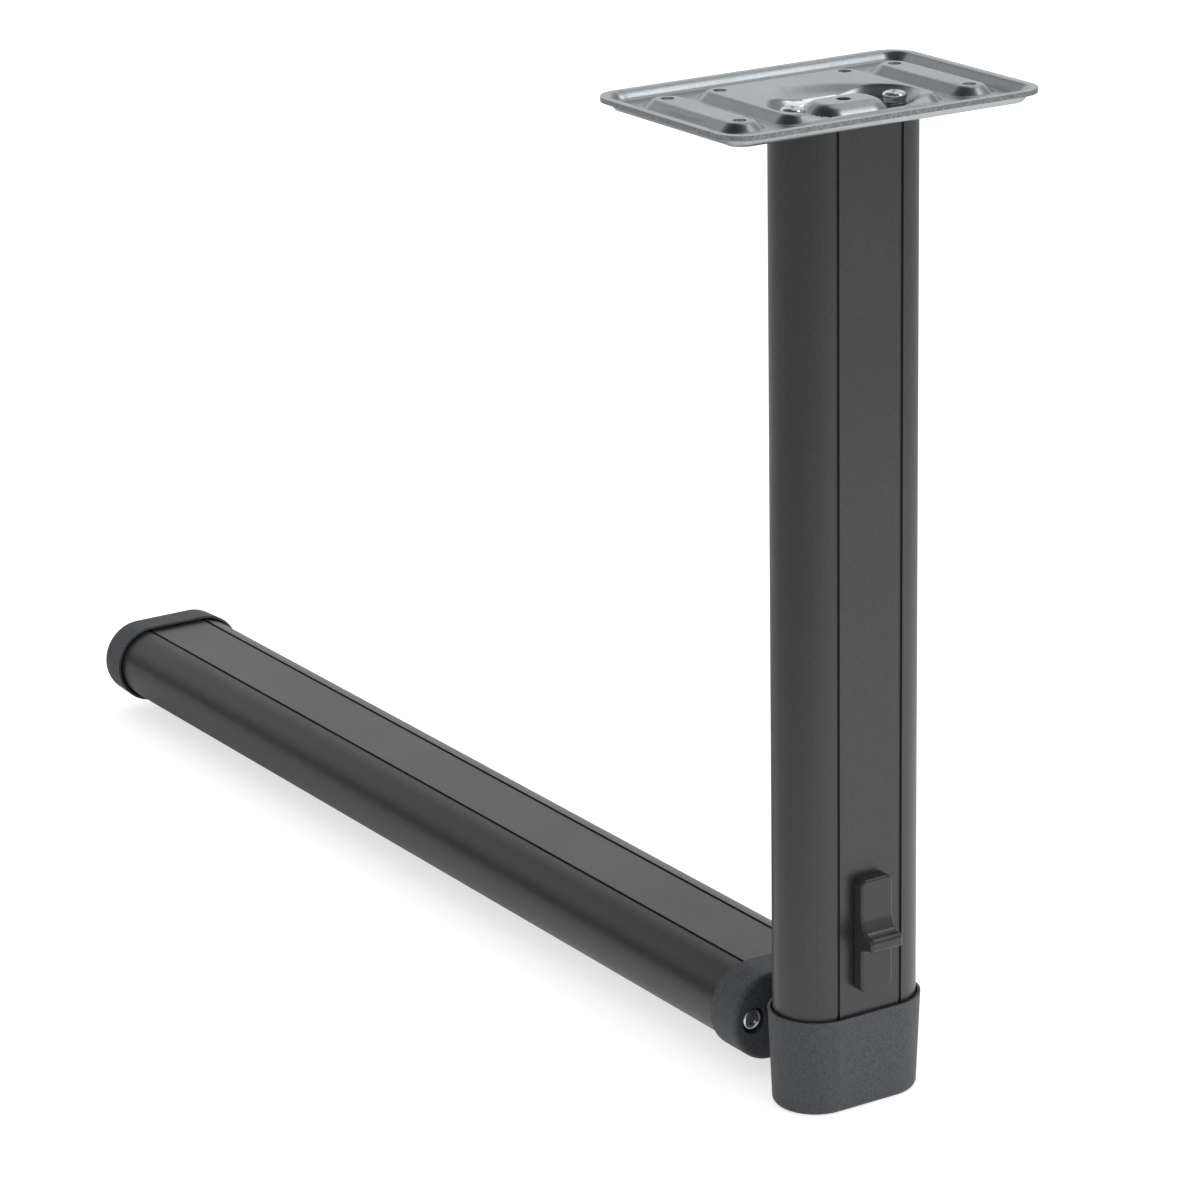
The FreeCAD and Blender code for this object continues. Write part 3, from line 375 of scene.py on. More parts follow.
def zinc_plated(name, tint):
    """Rolled and zinc-plated sheet: soft clouds in colour and gloss, faint rolling lines, scuffs."""
    material, tree, shader, place = start_material(name)
    grain = use_group(
        tree, "surface_grain", place, Color=rgba(tint), Grain_scale=900.0, Colour_spread=0.16,
        Roughness=0.31, Roughness_spread=0.07,
    )
    lines = use_group(tree, "drawn_lines", place, Stretch=(0.05, 1, 1), Line_scale=1500.0)
    scuffs = use_group(tree, "drawn_lines", place, Stretch=(1, 0.12, 1), Line_scale=260.0)
    marks = spread(tree, scuffs.outputs["Lines"], 0.0, 1.0, (0.62, 0.72))
    worn = spread(tree, marks, 1.0, 0.9)
    link(tree, shade(tree, grain.outputs["Color"], worn), shader.inputs["Base Color"])
    rough = arithmetic(tree, "MULTIPLY_ADD", marks, 0.06, grain.outputs["Roughness"])
    link(tree, rough, shader.inputs["Roughness"])
    shader.inputs["Metallic"].default_value = 1.0
    height = arithmetic(tree, "MULTIPLY_ADD", marks, -0.3, lines.outputs["Lines"])
    add_bump(tree, shader, height, 0.000008)
    return material


def mesh_object(name, mesh):
    piece = bpy.data.objects.new(name, mesh)
    bpy.context.scene.collection.objects.link(piece)
    return piece


def dress(piece, *materials):
    """Give a piece these materials in place of its own."""
    piece.data.materials.clear()
    for material in materials:
        piece.data.materials.append(material)


def bake(piece):
    """Turn a piece's modifiers into its plain mesh."""
    bpy.context.view_layer.update()
    graph = bpy.context.evaluated_depsgraph_get()
    mesh = bpy.data.meshes.new_from_object(piece.evaluated_get(graph), depsgraph=graph)
    piece.modifiers.clear()
    old = piece.data
    piece.data = mesh
    bpy.data.meshes.remove(old)
    mesh.name = piece.name
    return piece


@contextmanager
def opened(mesh):
    """A mesh opened for editing, and written back at the end."""
    form = bmesh.new()
    form.from_mesh(mesh)
    yield form
    form.to_mesh(mesh)
    form.free()


def smooth_by_angle(mesh, degrees):
    """Smooth faces, with edges sharper than an angle kept crisp."""
    limit = math.radians(degrees)
    with opened(mesh) as form:
        for face in form.faces:
            face.smooth = True
        for edge in form.edges:
            edge.smooth = len(edge.link_faces) == 2 and edge.calc_face_angle(0.0) < limit


def boolean(piece, tool, operation):
    modifier = piece.modifiers.new(operation.lower(), "BOOLEAN")
    modifier.operation = operation
    modifier.solver = "EXACT"
    modifier.object = tool
    bake(piece)
    bpy.data.objects.remove(tool)


def prism(name, outline, low, high, axis="Z"):
    """A straight solid over a closed outline."""
    make = {
        "Z": lambda u, v, w: (u, v, w),
        "X": lambda u, v, w: (w, u, v),
        "Y": lambda u, v, w: (u, w, v),
    }[axis]
    mesh = bpy.data.meshes.new(name)
    with opened(mesh) as form:
        first, last = ([form.verts.new(make(u, v, w)) for u, v in outline] for w in (low, high))
        form.faces.new(first)
        form.faces.new(last)
        for i in range(len(outline)):
            j = (i + 1) % len(outline)
            form.faces.new((first[i], first[j], last[j], last[i]))
        bmesh.ops.recalc_face_normals(form, faces=form.faces)
    return mesh_object(name, mesh)


def arc(centre, radius, start, stop, steps):
    """Points on an arc, from one angle to another in degrees."""
    angles = [math.radians(start + (stop - start) * i / steps) for i in range(steps + 1)]
    return [(centre[0] + radius * math.cos(a), centre[1] + radius * math.sin(a)) for a in angles]


def rounded_outline(width, height, radius, centre, steps):
    x, y = width / 2 - radius, height / 2 - radius
    points = []
    for sx, sy, turn in ((1, -1, 270), (1, 1, 0), (-1, 1, 90), (-1, -1, 180)):
        points += arc((centre[0] + sx * x, centre[1] + sy * y), radius, turn, turn + 90, steps)
    return points


def circle(x, y, diameter, steps):
    return arc((x, y), diameter / 2, 0, 360 * (steps - 1) / steps, steps - 1)


def smooth_least(a, b, blend):
    """The lesser of two heights, rounded where they cross."""
    mix = np.clip(0.5 + 0.5 * (b - a) / blend, 0, 1)
    return b * (1 - mix) + a * mix - blend * mix * (1 - mix)


def smooth_most(a, b, blend):
    return -smooth_least(-a, -b, blend)


def fall(distance, width, depth, bend):
    """A wall that falls from 0 by depth over a width, straight, with its two bends rounded."""
    straight = -depth * distance / width
    return smooth_most(smooth_least(0.0, straight, bend), -depth, bend)


def ease(t):
    t = np.clip(t, 0, 1)
    return t * t * (3 - 2 * t)


def inside_rounded(x, y, width, height, radius):
    """Distance inside a rounded rectangle, less than 0 outside it."""
    dx = np.abs(x) - (width / 2 - radius)
    dy = np.abs(y) - (height / 2 - radius)
    outside = np.hypot(np.maximum(dx, 0), np.maximum(dy, 0))
    return radius - outside - np.minimum(np.maximum(dx, dy), 0)


def plate_height(x, y, p):
    """The pressing's raised forms over a point of its plan, from the plate's top plane."""
    yc = y - p.shift
    edge = inside_rounded(x, yc, p.long_side, p.short_side, p.corner)
    height = fall(edge - p.lip, p.wall, p.tray, p.bend)
    forms = ((-p.strip_spacing / 2, p.strip_width), (p.strip_spacing / 2, p.strip_width), (0.0, p.plateau))
    for centre, width in forms:
        outside = -inside_rounded(x - centre, yc, width, p.reach, p.strip_width / 2 - 0.1 * MM)
        form = fall(outside, p.slope, p.tray, p.bend)
        height = smooth_most(height, form, 0.2 * MM)
    return height


class LEG_OT_mounting_plate(bpy.types.Operator):
    """Press the mounting plate: lip, tray, raised strips and middle, sunk seat and boss"""

    bl_idname = "leg.mounting_plate"
    bl_label = "Mounting plate"

    def execute(self, context):
        p = context.scene.leg_plate
        across = graded(p.long_side / 2 + MM, FINE_REACH_X, p.grid)
        along = graded(p.short_side / 2 + MM, FINE_REACH_Y, p.grid) + p.shift
        x, y = np.meshgrid(across, along)
        piece = mesh_object("pressed_mounting_plate", two_sided(x, y, p.top + pressed_form(x, y, p), p.sheet))
        outline = rounded_outline(p.long_side, p.short_side, p.corner, (0, p.shift), 16)
        low, high = p.top - 20 * MM, p.top + 10 * MM
        boolean(piece, prism("plate_outline", outline, low, high), "INTERSECT")
        for hole_x, hole_y, size in plate_holes(p):
            boolean(piece, prism("plate_drill", circle(hole_x, hole_y, size, 48), low, high), "DIFFERENCE")
        smooth_by_angle(piece.data, 38)
        colours = context.scene.leg_colours
        cut = grained("cut_sheet_edge", colours.cut, 1100.0, 0.0001, 0.46, 0.8, metallic=1.0)
        dress(piece, zinc_plated("zinc_plated_sheet", colours.zinc), cut)
        mark_cut_edges(piece.data, p)
        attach(piece, UPPER)
        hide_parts("mounting_plate")
        return {"FINISHED"}


def pressed_form(x, y, p):
    """Height of the whole pressing: raised forms, then the dish and the seat, then the boss."""
    height = plate_height(x, y, p)
    away = np.hypot(x, y)
    dish = -p.dish_depth * ease((p.dish - away) / (p.dish - p.dish_floor))
    outside = -inside_rounded(x, y, p.seat_length, p.seat_width, p.seat_width / 2 - 0.01 * MM)
    seat = smooth_most(p.pocket * outside / p.seat_slope, 0.0, p.bend) - p.pocket
    height = smooth_least(height, smooth_least(dish, seat, p.bend), p.bend)
    away = -inside_rounded(x, y, p.boss_length, p.boss_width, p.boss_width / 2 - MM)
    share = np.clip(away / p.boss_slope, 0, 1.3)
    boss = -p.boss_drop - (p.pocket - p.boss_drop) * share**2
    return smooth_most(height, boss, 0.3 * MM)


def graded(reach, fine_reach, step):
    """Grid lines from -reach to reach, closer together near the middle."""
    middle = np.linspace(-fine_reach, fine_reach, 2 * round(fine_reach / step) + 1)
    outer = np.linspace(fine_reach, reach, math.ceil((reach - fine_reach) / (1.35 * step)) + 1)[1:]
    return np.concatenate((-outer[::-1], middle, outer))


def blurred(values, times):
    """Values evened out with their neighbours on the grid."""
    for _ in range(times):
        wide = np.pad(values, 1, mode="edge")
        values = (wide[:-2, 1:-1] + wide[2:, 1:-1] + wide[1:-1, :-2] + wide[1:-1, 2:] + 4 * values) / 8
    return values


def two_sided(x, y, z, thickness):
    """A closed sheet: the given face on top, and a face below it by the sheet's thickness."""
    rows, columns = x.shape
    dz_dy, dz_dx = np.gradient(z, y[:, 0], x[0, :])
    below = z - thickness * blurred(np.sqrt(dz_dx**2 + dz_dy**2 + 1), 3)
    upper = np.stack((x, y, z), -1).reshape(-1, 3)
    lower = np.stack((x, y, below), -1).reshape(-1, 3)
    count = rows * columns
    index = np.arange(count).reshape(rows, columns)
    a, b, c, d = index[:-1, :-1], index[:-1, 1:], index[1:, 1:], index[1:, :-1]
    faces = np.stack((a, b, c, d), -1).reshape(-1, 4)
    under = faces[:, ::-1] + count
    rim = np.concatenate((index[0, :], index[1:, -1], index[-1, -2::-1], index[-2:0:-1, 0]))
    after = np.roll(rim, -1)
    sides = np.stack((rim, rim + count, after + count, after), -1)
    mesh = bpy.data.meshes.new("pressed_sheet")
    points, every_face = np.concatenate((upper, lower)), np.concatenate((faces, under, sides))
    mesh.from_pydata(points.tolist(), [], every_face.tolist())
    mesh.update()
    return mesh


def plate_holes(p):
    """The pressing's round holes: place and diameter."""
    holes = [(0.0, 0.0, p.centre_hole)]
    back, front = p.shift + p.hole_rows / 2, p.shift - p.hole_rows / 2
    for side in (-1, 1):
        holes.append((side * SCREW_X, 0.0, p.port_hole))
        holes.append((side * p.middle_holes / 2, back, p.hole))
        holes.append((side * p.strip_spacing / 2, back, p.hole))
        holes.append((side * p.strip_spacing / 2, front, p.hole))
    return holes


def mark_cut_edges(mesh, p):
    """Give the sheared edge and the holes' walls the bare cut finish."""
    for face in mesh.polygons:
        x, y, _ = face.center
        level = abs(face.normal.z) < 0.2
        edge = inside_rounded(x, y - p.shift, p.long_side, p.short_side, p.corner)
        near_hole = any(math.hypot(x - hx, y - hy) < size / 2 + 0.1 * MM for hx, hy, size in plate_holes(p))
        face.material_index = 1 if level and (edge < 0.1 * MM or near_hole) else 0


class LEG_OT_slider(bpy.types.Operator):
    """Mould the latch slider with its finger ridge and cove"""

    bl_idname = "leg.slider"
    bl_label = "Latch slider"

    def execute(self, context):
        s = context.scene.leg_slider
        foot, top = SLIDER_LOW.z, SLIDER_HIGH.z
        piece = prism("slider_body", slider_profile(s, foot, top), -s.width / 2, s.width / 2, "X")
        front = rounded_outline(s.width, top - foot, s.corner, (0, (foot + top) / 2), 8)
        boolean(piece, prism("slider_front", front, -0.05, 0.0, "Y"), "INTERSECT")
        round_rim(piece.data, s.edge, TUBE_FRONT - 0.5 * MM)
        section = rounded_outline(s.neck, s.neck_height, 0.5 * MM, (0, s.neck_place), 3)
        neck = prism("slider_neck", section, TUBE_FRONT - 1.0 * MM, TUBE_FRONT + 7.0 * MM, "Y")
        boolean(piece, neck, "UNION")
        piece.name = "moulded_latch_slider"
        smooth_by_angle(piece.data, 40)
        even = piece.modifiers.new("even_normals", "WEIGHTED_NORMAL")
        even.keep_sharp = True
        bake(piece)
        tint = context.scene.leg_colours.slider
        dress(piece, grained("satin_black_plastic", tint, 1600.0, 0.000012, 0.22, 0.3))
        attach(piece, LATCH)
        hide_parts("latch_button")
        return {"FINISHED"}


def round_rim(mesh, radius, back):
    """Round the sharp edges that lie in front of a depth."""
    limit = math.radians(50)
    with opened(mesh) as form:
        bmesh.ops.dissolve_limit(
            form, angle_limit=math.radians(1), verts=form.verts, edges=form.edges, delimit={"NORMAL"}
        )
        sharp = [
            edge for edge in form.edges
            if edge.calc_face_angle(0.0) > limit and all(vert.co.y < back for vert in edge.verts)
        ]
        bmesh.ops.bevel(
            form, geom=sharp, offset=radius, offset_type="OFFSET", segments=5, profile=0.5, affect="EDGES",
            clamp_overlap=False,
        )


def slider_profile(s, foot, top):
    """Side view of the slider, as (y, z) points."""
    back, face, crest = TUBE_FRONT - 0.2 * MM, TUBE_FRONT - s.proud, TUBE_FRONT - s.ridge
    ridge_top = s.ridge_height + s.ridge_thickness
    reach = face - crest - s.ridge_round
    points = [(back, foot), (back, top), (face, top)]
    points += [
        (face - reach * (1 - math.cos(t)), ridge_top + s.cove * (1 - math.sin(t)))
        for t in np.linspace(0, math.pi / 2, 15)
    ]
    points += arc((crest + s.ridge_round, ridge_top - s.ridge_round), s.ridge_round, 90, 180, 8)[1:]
    points += arc((crest + s.ridge_edge, s.ridge_height + s.ridge_edge), s.ridge_edge, 180, 270, 5)
    root = (face - s.root_round, s.root + s.root_round)
    points += [
        (root[0] + s.root_round * math.sin(t), root[1] - s.root_round * (1 - math.cos(t)))
        for t in np.linspace(0, math.pi / 2, 7)
    ]
    points.append((face, foot))
    return points


def new_tree(name, sizes):
    """A Geometry Nodes tree with a named input for each size, and its output."""
    tree = bpy.data.node_groups.new(name, "GeometryNodeTree")
    kinds = {int: "NodeSocketInt", float: "NodeSocketFloat", tuple: "NodeSocketVector"}
    tree.interface.new_socket(name="Geometry", in_out="OUTPUT", socket_type="NodeSocketGeometry")
    for label, value in sizes.items():
        kind = kinds.get(type(value), "NodeSocketMaterial")
        socket = tree.interface.new_socket(name=label, in_out="INPUT", socket_type=kind)
        if value is not None:
            socket.default_value = value
    source = tree.nodes.new("NodeGroupInput")
    return tree, source.outputs, tree.nodes.new("NodeGroupOutput")


def place_node(tree, kind, **sockets):
    """A node with its inputs set or linked, by socket name."""
    node = tree.nodes.new(kind)
    for key, value in sockets.items():
        feed(tree, value, node.inputs[key.replace("_", " ")])
    return node


def made(tree, kind, **sockets):
    """The first output of a node with these inputs."""
    return place_node(tree, kind, **sockets).outputs[0]


def join_axes(tree, **axes):
    """A vector made of the axes given, with 0 for the others."""
    return made(tree, "ShaderNodeCombineXYZ", **axes)


def point_axes(tree):
    """The X, Y and Z of each point."""
    position = made(tree, "GeometryNodeInputPosition")
    return place_node(tree, "ShaderNodeSeparateXYZ", Vector=position).outputs


def shares_curve(tree, factor, shares):
    """A value that runs through a row of shares, spaced evenly over 0 to 1."""
    node = place_node(tree, "ShaderNodeFloatCurve", Value=factor)
    points = node.mapping.curves[0].points
    last = len(shares) - 1
    for i, share in enumerate(shares):
        point = points[0] if i == 0 else points[-1] if i == last else points.new(i / last, share)
        point.location = (i / last, share)
    for point in points:
        point.handle_type = "VECTOR"
    node.mapping.update()
    return node.outputs["Value"]


def turned(tree, profile, radius, height, sides):
    """A closed turned form, whose profile is given as shares of a radius and a height."""
    grid = made(
        tree, "GeometryNodeMeshGrid", Size_X=1.0, Size_Y=1.0, Vertices_X=sides, Vertices_Y=len(profile)
    )
    axes = point_axes(tree)
    turn = arithmetic(tree, "MULTIPLY_ADD", axes["X"], 2 * math.pi, math.pi)
    row = arithmetic(tree, "ADD", axes["Y"], 0.5)
    away = times(tree, shares_curve(tree, row, [r for r, _ in profile]), radius)
    up = times(tree, shares_curve(tree, row, [z for _, z in profile]), height)
    x = times(tree, away, arithmetic(tree, "COSINE", turn))
    y = times(tree, away, arithmetic(tree, "SINE", turn))
    form = made(tree, "GeometryNodeSetPosition", Geometry=grid, Position=join_axes(tree, X=x, Y=y, Z=up))
    return made(tree, "GeometryNodeMergeByDistance", Geometry=form, Distance=1e-6)


def pan_head_profile(screws):
    """Shares of a pan head: flat seat, short side, rounded crown, flat top."""
    radius, height = screws.head / 2, screws.height
    side, flat = 0.42 * height, 0.40 * radius
    crown = [
        (flat + (radius - flat) * math.cos(t) ** 0.9, side + (height - side) * math.sin(t) ** 0.9)
        for t in np.linspace(0.12, math.pi / 2, 10)
    ]
    profile = [(0, 0), (0.5 * radius, 0), (0.95 * radius, 0), (radius, 0.05 * height), (radius, side), *crown,
               (0.2 * radius, height), (0, height)]
    return [(r / radius, z / height) for r, z in profile]


def cross_arm(tree, span, width, depth):
    """One tapered arm of the cross recess, centred on the top of the head."""
    block = made(
        tree, "GeometryNodeMeshCube", Size=join_axes(tree, X=span, Y=width, Z=times(tree, depth, 2.0))
    )
    axes = point_axes(tree)
    low = arithmetic(tree, "LESS_THAN", axes["Z"], 0.0)
    narrow = arithmetic(tree, "MULTIPLY_ADD", low, -0.5, 1.0)
    x, y = times(tree, axes["X"], narrow), times(tree, axes["Y"], narrow)
    spot = join_axes(tree, X=x, Y=y, Z=axes["Z"])
    return made(tree, "GeometryNodeSetPosition", Geometry=block, Position=spot)


def pair_and_finish(tree, values, result, piece):
    """Two of a fastener a spacing apart, each turned a little, brought to their place and finished."""
    start = join_axes(tree, X=times(tree, values["Spacing"], -0.5))
    step = join_axes(tree, X=values["Spacing"])
    row = made(tree, "GeometryNodeMeshLine", Count=2, Start_Location=start, Offset=step)
    turn = tree.nodes.new("FunctionNodeRandomValue")
    turn.data_type = "FLOAT"
    sockets = {socket.name: socket for socket in turn.inputs if socket.enabled}
    sockets["Min"].default_value, sockets["Max"].default_value = 0.2, 1.4
    link(tree, values["Seed"], sockets["Seed"])
    amount = next(socket for socket in turn.outputs if socket.enabled)
    both = made(
        tree, "GeometryNodeInstanceOnPoints", Points=row, Instance=piece, Rotation=join_axes(tree, Z=amount)
    )
    real = made(tree, "GeometryNodeRealizeInstances", Geometry=both)
    moved = made(
        tree, "GeometryNodeTransform", Geometry=real, Translation=values["Place"], Rotation=values["Turn"]
    )
    done = made(tree, "GeometryNodeSetMaterial", Geometry=moved, Material=values["Finish"])
    link(tree, done, result.inputs["Geometry"])


SHARED = {"Spacing": 0.04, "Seed": 7, "Place": (0.0, 0.0, 0.0), "Turn": (0.0, 0.0, 0.0), "Finish": None}

# Shares of a shank's radius and length, from its tip to a short way into the head.
SHANK_PROFILE = (
    (0, 1), (0.5, 1), (1, 0.93), (1, 0.5), (1, -0.01), (0.9, -0.02), (0.5, -0.02), (0.2, -0.02), (0, -0.02)
)


def screw_tree(screws):
    """Two pan-head screws, each with its seat at the place given and its shank behind it."""
    tree, values, result = new_tree("pan_head_screws", {
        "Head radius": 0.004, "Head height": 0.0024, "Shank radius": 0.0018, "Length": 0.02,
        "Recess span": 0.0044, "Recess width": 0.0012, "Recess depth": 0.0015, "Sides": 40, **SHARED,
    })
    sides, height = values["Sides"], values["Head height"]
    head = turned(tree, pan_head_profile(screws), values["Head radius"], height, sides)
    lift = join_axes(tree, Z=height)
    arms = []
    for quarter in (0.0, math.pi / 2):
        arm = cross_arm(tree, values["Recess span"], values["Recess width"], values["Recess depth"])
        arms.append(made(
            tree, "GeometryNodeTransform", Geometry=arm, Translation=lift, Rotation=(0, 0, quarter)
        ))
    cut = tree.nodes.new("GeometryNodeMeshBoolean")
    cut.operation, cut.solver = "DIFFERENCE", "EXACT"
    link(tree, head, cut.inputs["Mesh 1"])
    for arm in arms:
        link(tree, arm, cut.inputs["Mesh 2"])
    long = times(tree, values["Length"], -1.0)
    shank = turned(
        tree, [(r, (z + 0.02) / 1.02) for r, z in SHANK_PROFILE], values["Shank radius"], long, sides
    )
    screw = tree.nodes.new("GeometryNodeJoinGeometry")
    link(tree, shank, screw.inputs[0])
    link(tree, cut.outputs[0], screw.inputs[0])
    pair_and_finish(tree, values, result, screw.outputs[0])
    return tree


def washer_section(tree, values):
    """A washer's cross-section with its corners eased."""
    width = arithmetic(tree, "SUBTRACT", values["Radius"], values["Bore radius"])
    section = made(
        tree, "GeometryNodeCurvePrimitiveQuadrilateral", Width=width, Height=values["Thickness"]
    )
    eased = tree.nodes.new("GeometryNodeFilletCurve")
    eased.mode = "POLY"
    link(tree, section, eased.inputs["Curve"])
    link(tree, times(tree, values["Thickness"], 0.2), eased.inputs["Radius"])
    eased.inputs["Count"].default_value = 3
    across = arithmetic(tree, "ADD", values["Radius"], values["Bore radius"])
    return eased.outputs[0], times(tree, across, 0.5)


def washer_tree(split):
    """Two washers: plain rings, or one turn of a spring with a slit."""
    tree, values, result = new_tree("split_washers" if split else "plain_washers", {
        "Radius": 0.0037, "Bore radius": 0.0021, "Thickness": 0.0006, "Rise": 0.0, "Slit share": 0.04,
        "Sides": 40, **SHARED,
    })
    section, middle = washer_section(tree, values)
    if split:
        turns = arithmetic(tree, "SUBTRACT", 1.0, values["Slit share"])
        spiral = made(
            tree, "GeometryNodeCurveSpiral", Resolution=values["Sides"], Rotations=turns, Start_Radius=middle,
            End_Radius=middle, Height=values["Rise"],
        )
        upright = place_node(tree, "GeometryNodeSetCurveNormal", Curve=spiral)
        upright.mode = "Z_UP"
        path = upright.outputs[0]
    else:
        path = made(tree, "GeometryNodeCurvePrimitiveCircle", Resolution=values["Sides"], Radius=middle)
    ring = made(tree, "GeometryNodeCurveToMesh", Curve=path, Profile_Curve=section, Fill_Caps=True)
    whole = arithmetic(tree, "SUBTRACT", values["Thickness"], values["Rise"])
    lift = join_axes(tree, Z=times(tree, whole, 0.5))
    raised = made(tree, "GeometryNodeTransform", Geometry=ring, Translation=lift)
    pair_and_finish(tree, values, result, raised)
    return tree


def grow(name, tree, values):
    """The plain mesh that a tree makes from its named values."""
    piece = mesh_object(name, bpy.data.meshes.new(name))
    modifier = piece.modifiers.new("fasteners", "NODES")
    modifier.node_group = tree
    for socket in tree.interface.items_tree:
        if socket.item_type == "SOCKET" and socket.in_out == "INPUT":
            modifier[socket.identifier] = values[socket.name]
    bake(piece)
    with opened(piece.data) as form:
        bmesh.ops.recalc_face_normals(form, faces=form.faces)
    smooth_by_angle(piece.data, 30)
    return piece


class LEG_OT_fasteners(bpy.types.Operator):
    """Turn the screws and washers with Geometry Nodes"""

    bl_idname = "leg.fasteners"
    bl_label = "Screws and washers"

    def execute(self, context):
        screws, colours = context.scene.leg_screws, context.scene.leg_colours
        steel = bpy.data.materials["bright_steel"]
        zinc = grained("zinc_plated_washer", colours.zinc, 1600.0, 0.000006, 0.3, 0.06, metallic=1.0)
        tree = screw_tree(screws)
        upright, head_down, head_front = (0.0, 0.0, 0.0), (math.pi, 0.0, 0.0), (math.pi / 2, 0.0, 0.0)
        height = screws.height
        plate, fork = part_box("plate_screw_right"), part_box("fork_screw_right")
        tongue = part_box("tongue_screw_right")
        middle = (tongue[0].z + tongue[1].z) / 2
        rows = (
            ("plate_screw", (0, 0, plate[1].z - height), upright, plate[1].z - plate[0].z),
            ("fork_screw", (0, 0, fork[0].z + height), head_down, fork[1].z - fork[0].z),
            ("tongue_screw", (0, tongue[0].y + height, middle), head_front, tongue[1].y - tongue[0].y),
        )
        for order, (node, spot, turn, whole) in enumerate(rows):
            piece = grow(f"{node}s", tree, {
                "Head radius": screws.head / 2, "Head height": height, "Shank radius": screws.shank / 2,
                "Length": whole - height, "Recess span": screws.recess,
                "Recess width": screws.recess_width, "Recess depth": screws.recess_depth,
                "Sides": screws.segments + 1, "Spacing": 2 * SCREW_X, "Seed": screws.seed + order,
                "Place": spot, "Turn": turn, "Finish": steel,
            })
            self.settle(piece, node, "bright_steel", LOWER if node == "tongue_screw" else UPPER)
        for node, split, width, thickness, finish in (
            ("plate_washer", False, screws.washer, screws.washer_thickness, zinc),
            ("plate_spring_washer", True, screws.spring, screws.spring_thickness, steel),
        ):
            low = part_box(f"{node}_right")[0].z
            rise = 0.22 * thickness if split else 0.0
            piece = grow(f"{node}s", washer_tree(split), {
                "Radius": width / 2, "Bore radius": screws.bore / 2, "Thickness": thickness - rise,
                "Rise": rise, "Slit share": 0.035, "Sides": screws.segments, "Spacing": 2 * SCREW_X,
                "Seed": screws.seed + 5, "Place": (0, 0, low + rise / 2), "Turn": upright, "Finish": finish,
            })
            self.settle(piece, node, "bright_steel" if split else "zinc_plated_sheet", UPPER)
        return {"FINISHED"}

    @staticmethod
    def settle(piece, node, slot, body):
        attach(piece, body)
        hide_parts(f"{node}_left", f"{node}_right")


class LEG_OT_finishes(bpy.types.Operator):
    """Give every carried-over piece its finish"""

    bl_idname = "leg.finishes"
    bl_label = "Finishes"

    def execute(self, context):
        c = context.scene.leg_colours
        caps = grained("grained_grey_plastic", c.caps, 1150.0, 0.0002, 0.56, 0.85)
        steel = grained("bright_steel", c.steel, 900.0, 0.000004, 0.22, 0.06, metallic=1.0)
        casting = grained("cast_zinc", c.casting, 1400.0, 0.00003, 0.42, 0.12, metallic=1.0)
        bearing = grained("bearing_plastic", c.bearing, 2000.0, 0.00001, 0.45)
        upright = anodised("anodised_upper", c.tube, (1.0, 1.0, 0.006))
        lying = anodised("anodised_lower", c.tube, (1.0, 0.006, 1.0))
        wear = {
            "upper_tube": upright, "lower_tube": lying, "knee_cover": caps, "knee_end_cap": caps,
            "foot_cap": caps, "latch_button": caps, "hinge_fork": casting, "hinge_tongue": casting,
            "lock_bolt": casting, "bush_left": bearing, "bush_right": bearing,
        }
        for name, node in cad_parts.items():
            dress(node, wear.get(name, steel))
        return {"FINISHED"}


def area_lamp(name, place, target, size, power, spread_degrees=180.0):
    lamp = bpy.data.lights.new(name, "AREA")
    lamp.shape = "RECTANGLE"
    lamp.size, lamp.size_y = size
    lamp.energy = power
    lamp.spread = math.radians(spread_degrees)
    holder = bpy.data.objects.new(name, lamp)
    bpy.context.scene.collection.objects.link(holder)
    holder.location = place
    holder.rotation_euler = (Vector(target) - Vector(place)).to_track_quat("-Z", "Y").to_euler()
    holder.visible_camera = False
    return holder


def toward(tree, direction, target):
    """How nearly a direction points at a target's azimuth from +Y toward +X and elevation, in degrees."""
    turn, lift = (math.radians(degrees) for degrees in target)
    node = tree.nodes.new("ShaderNodeVectorMath")
    node.operation = "DOT_PRODUCT"
    link(tree, direction, node.inputs[0])
    node.inputs[1].default_value = (
        math.sin(turn) * math.cos(lift), math.cos(turn) * math.cos(lift), math.sin(lift)
    )
    return node.outputs["Value"]


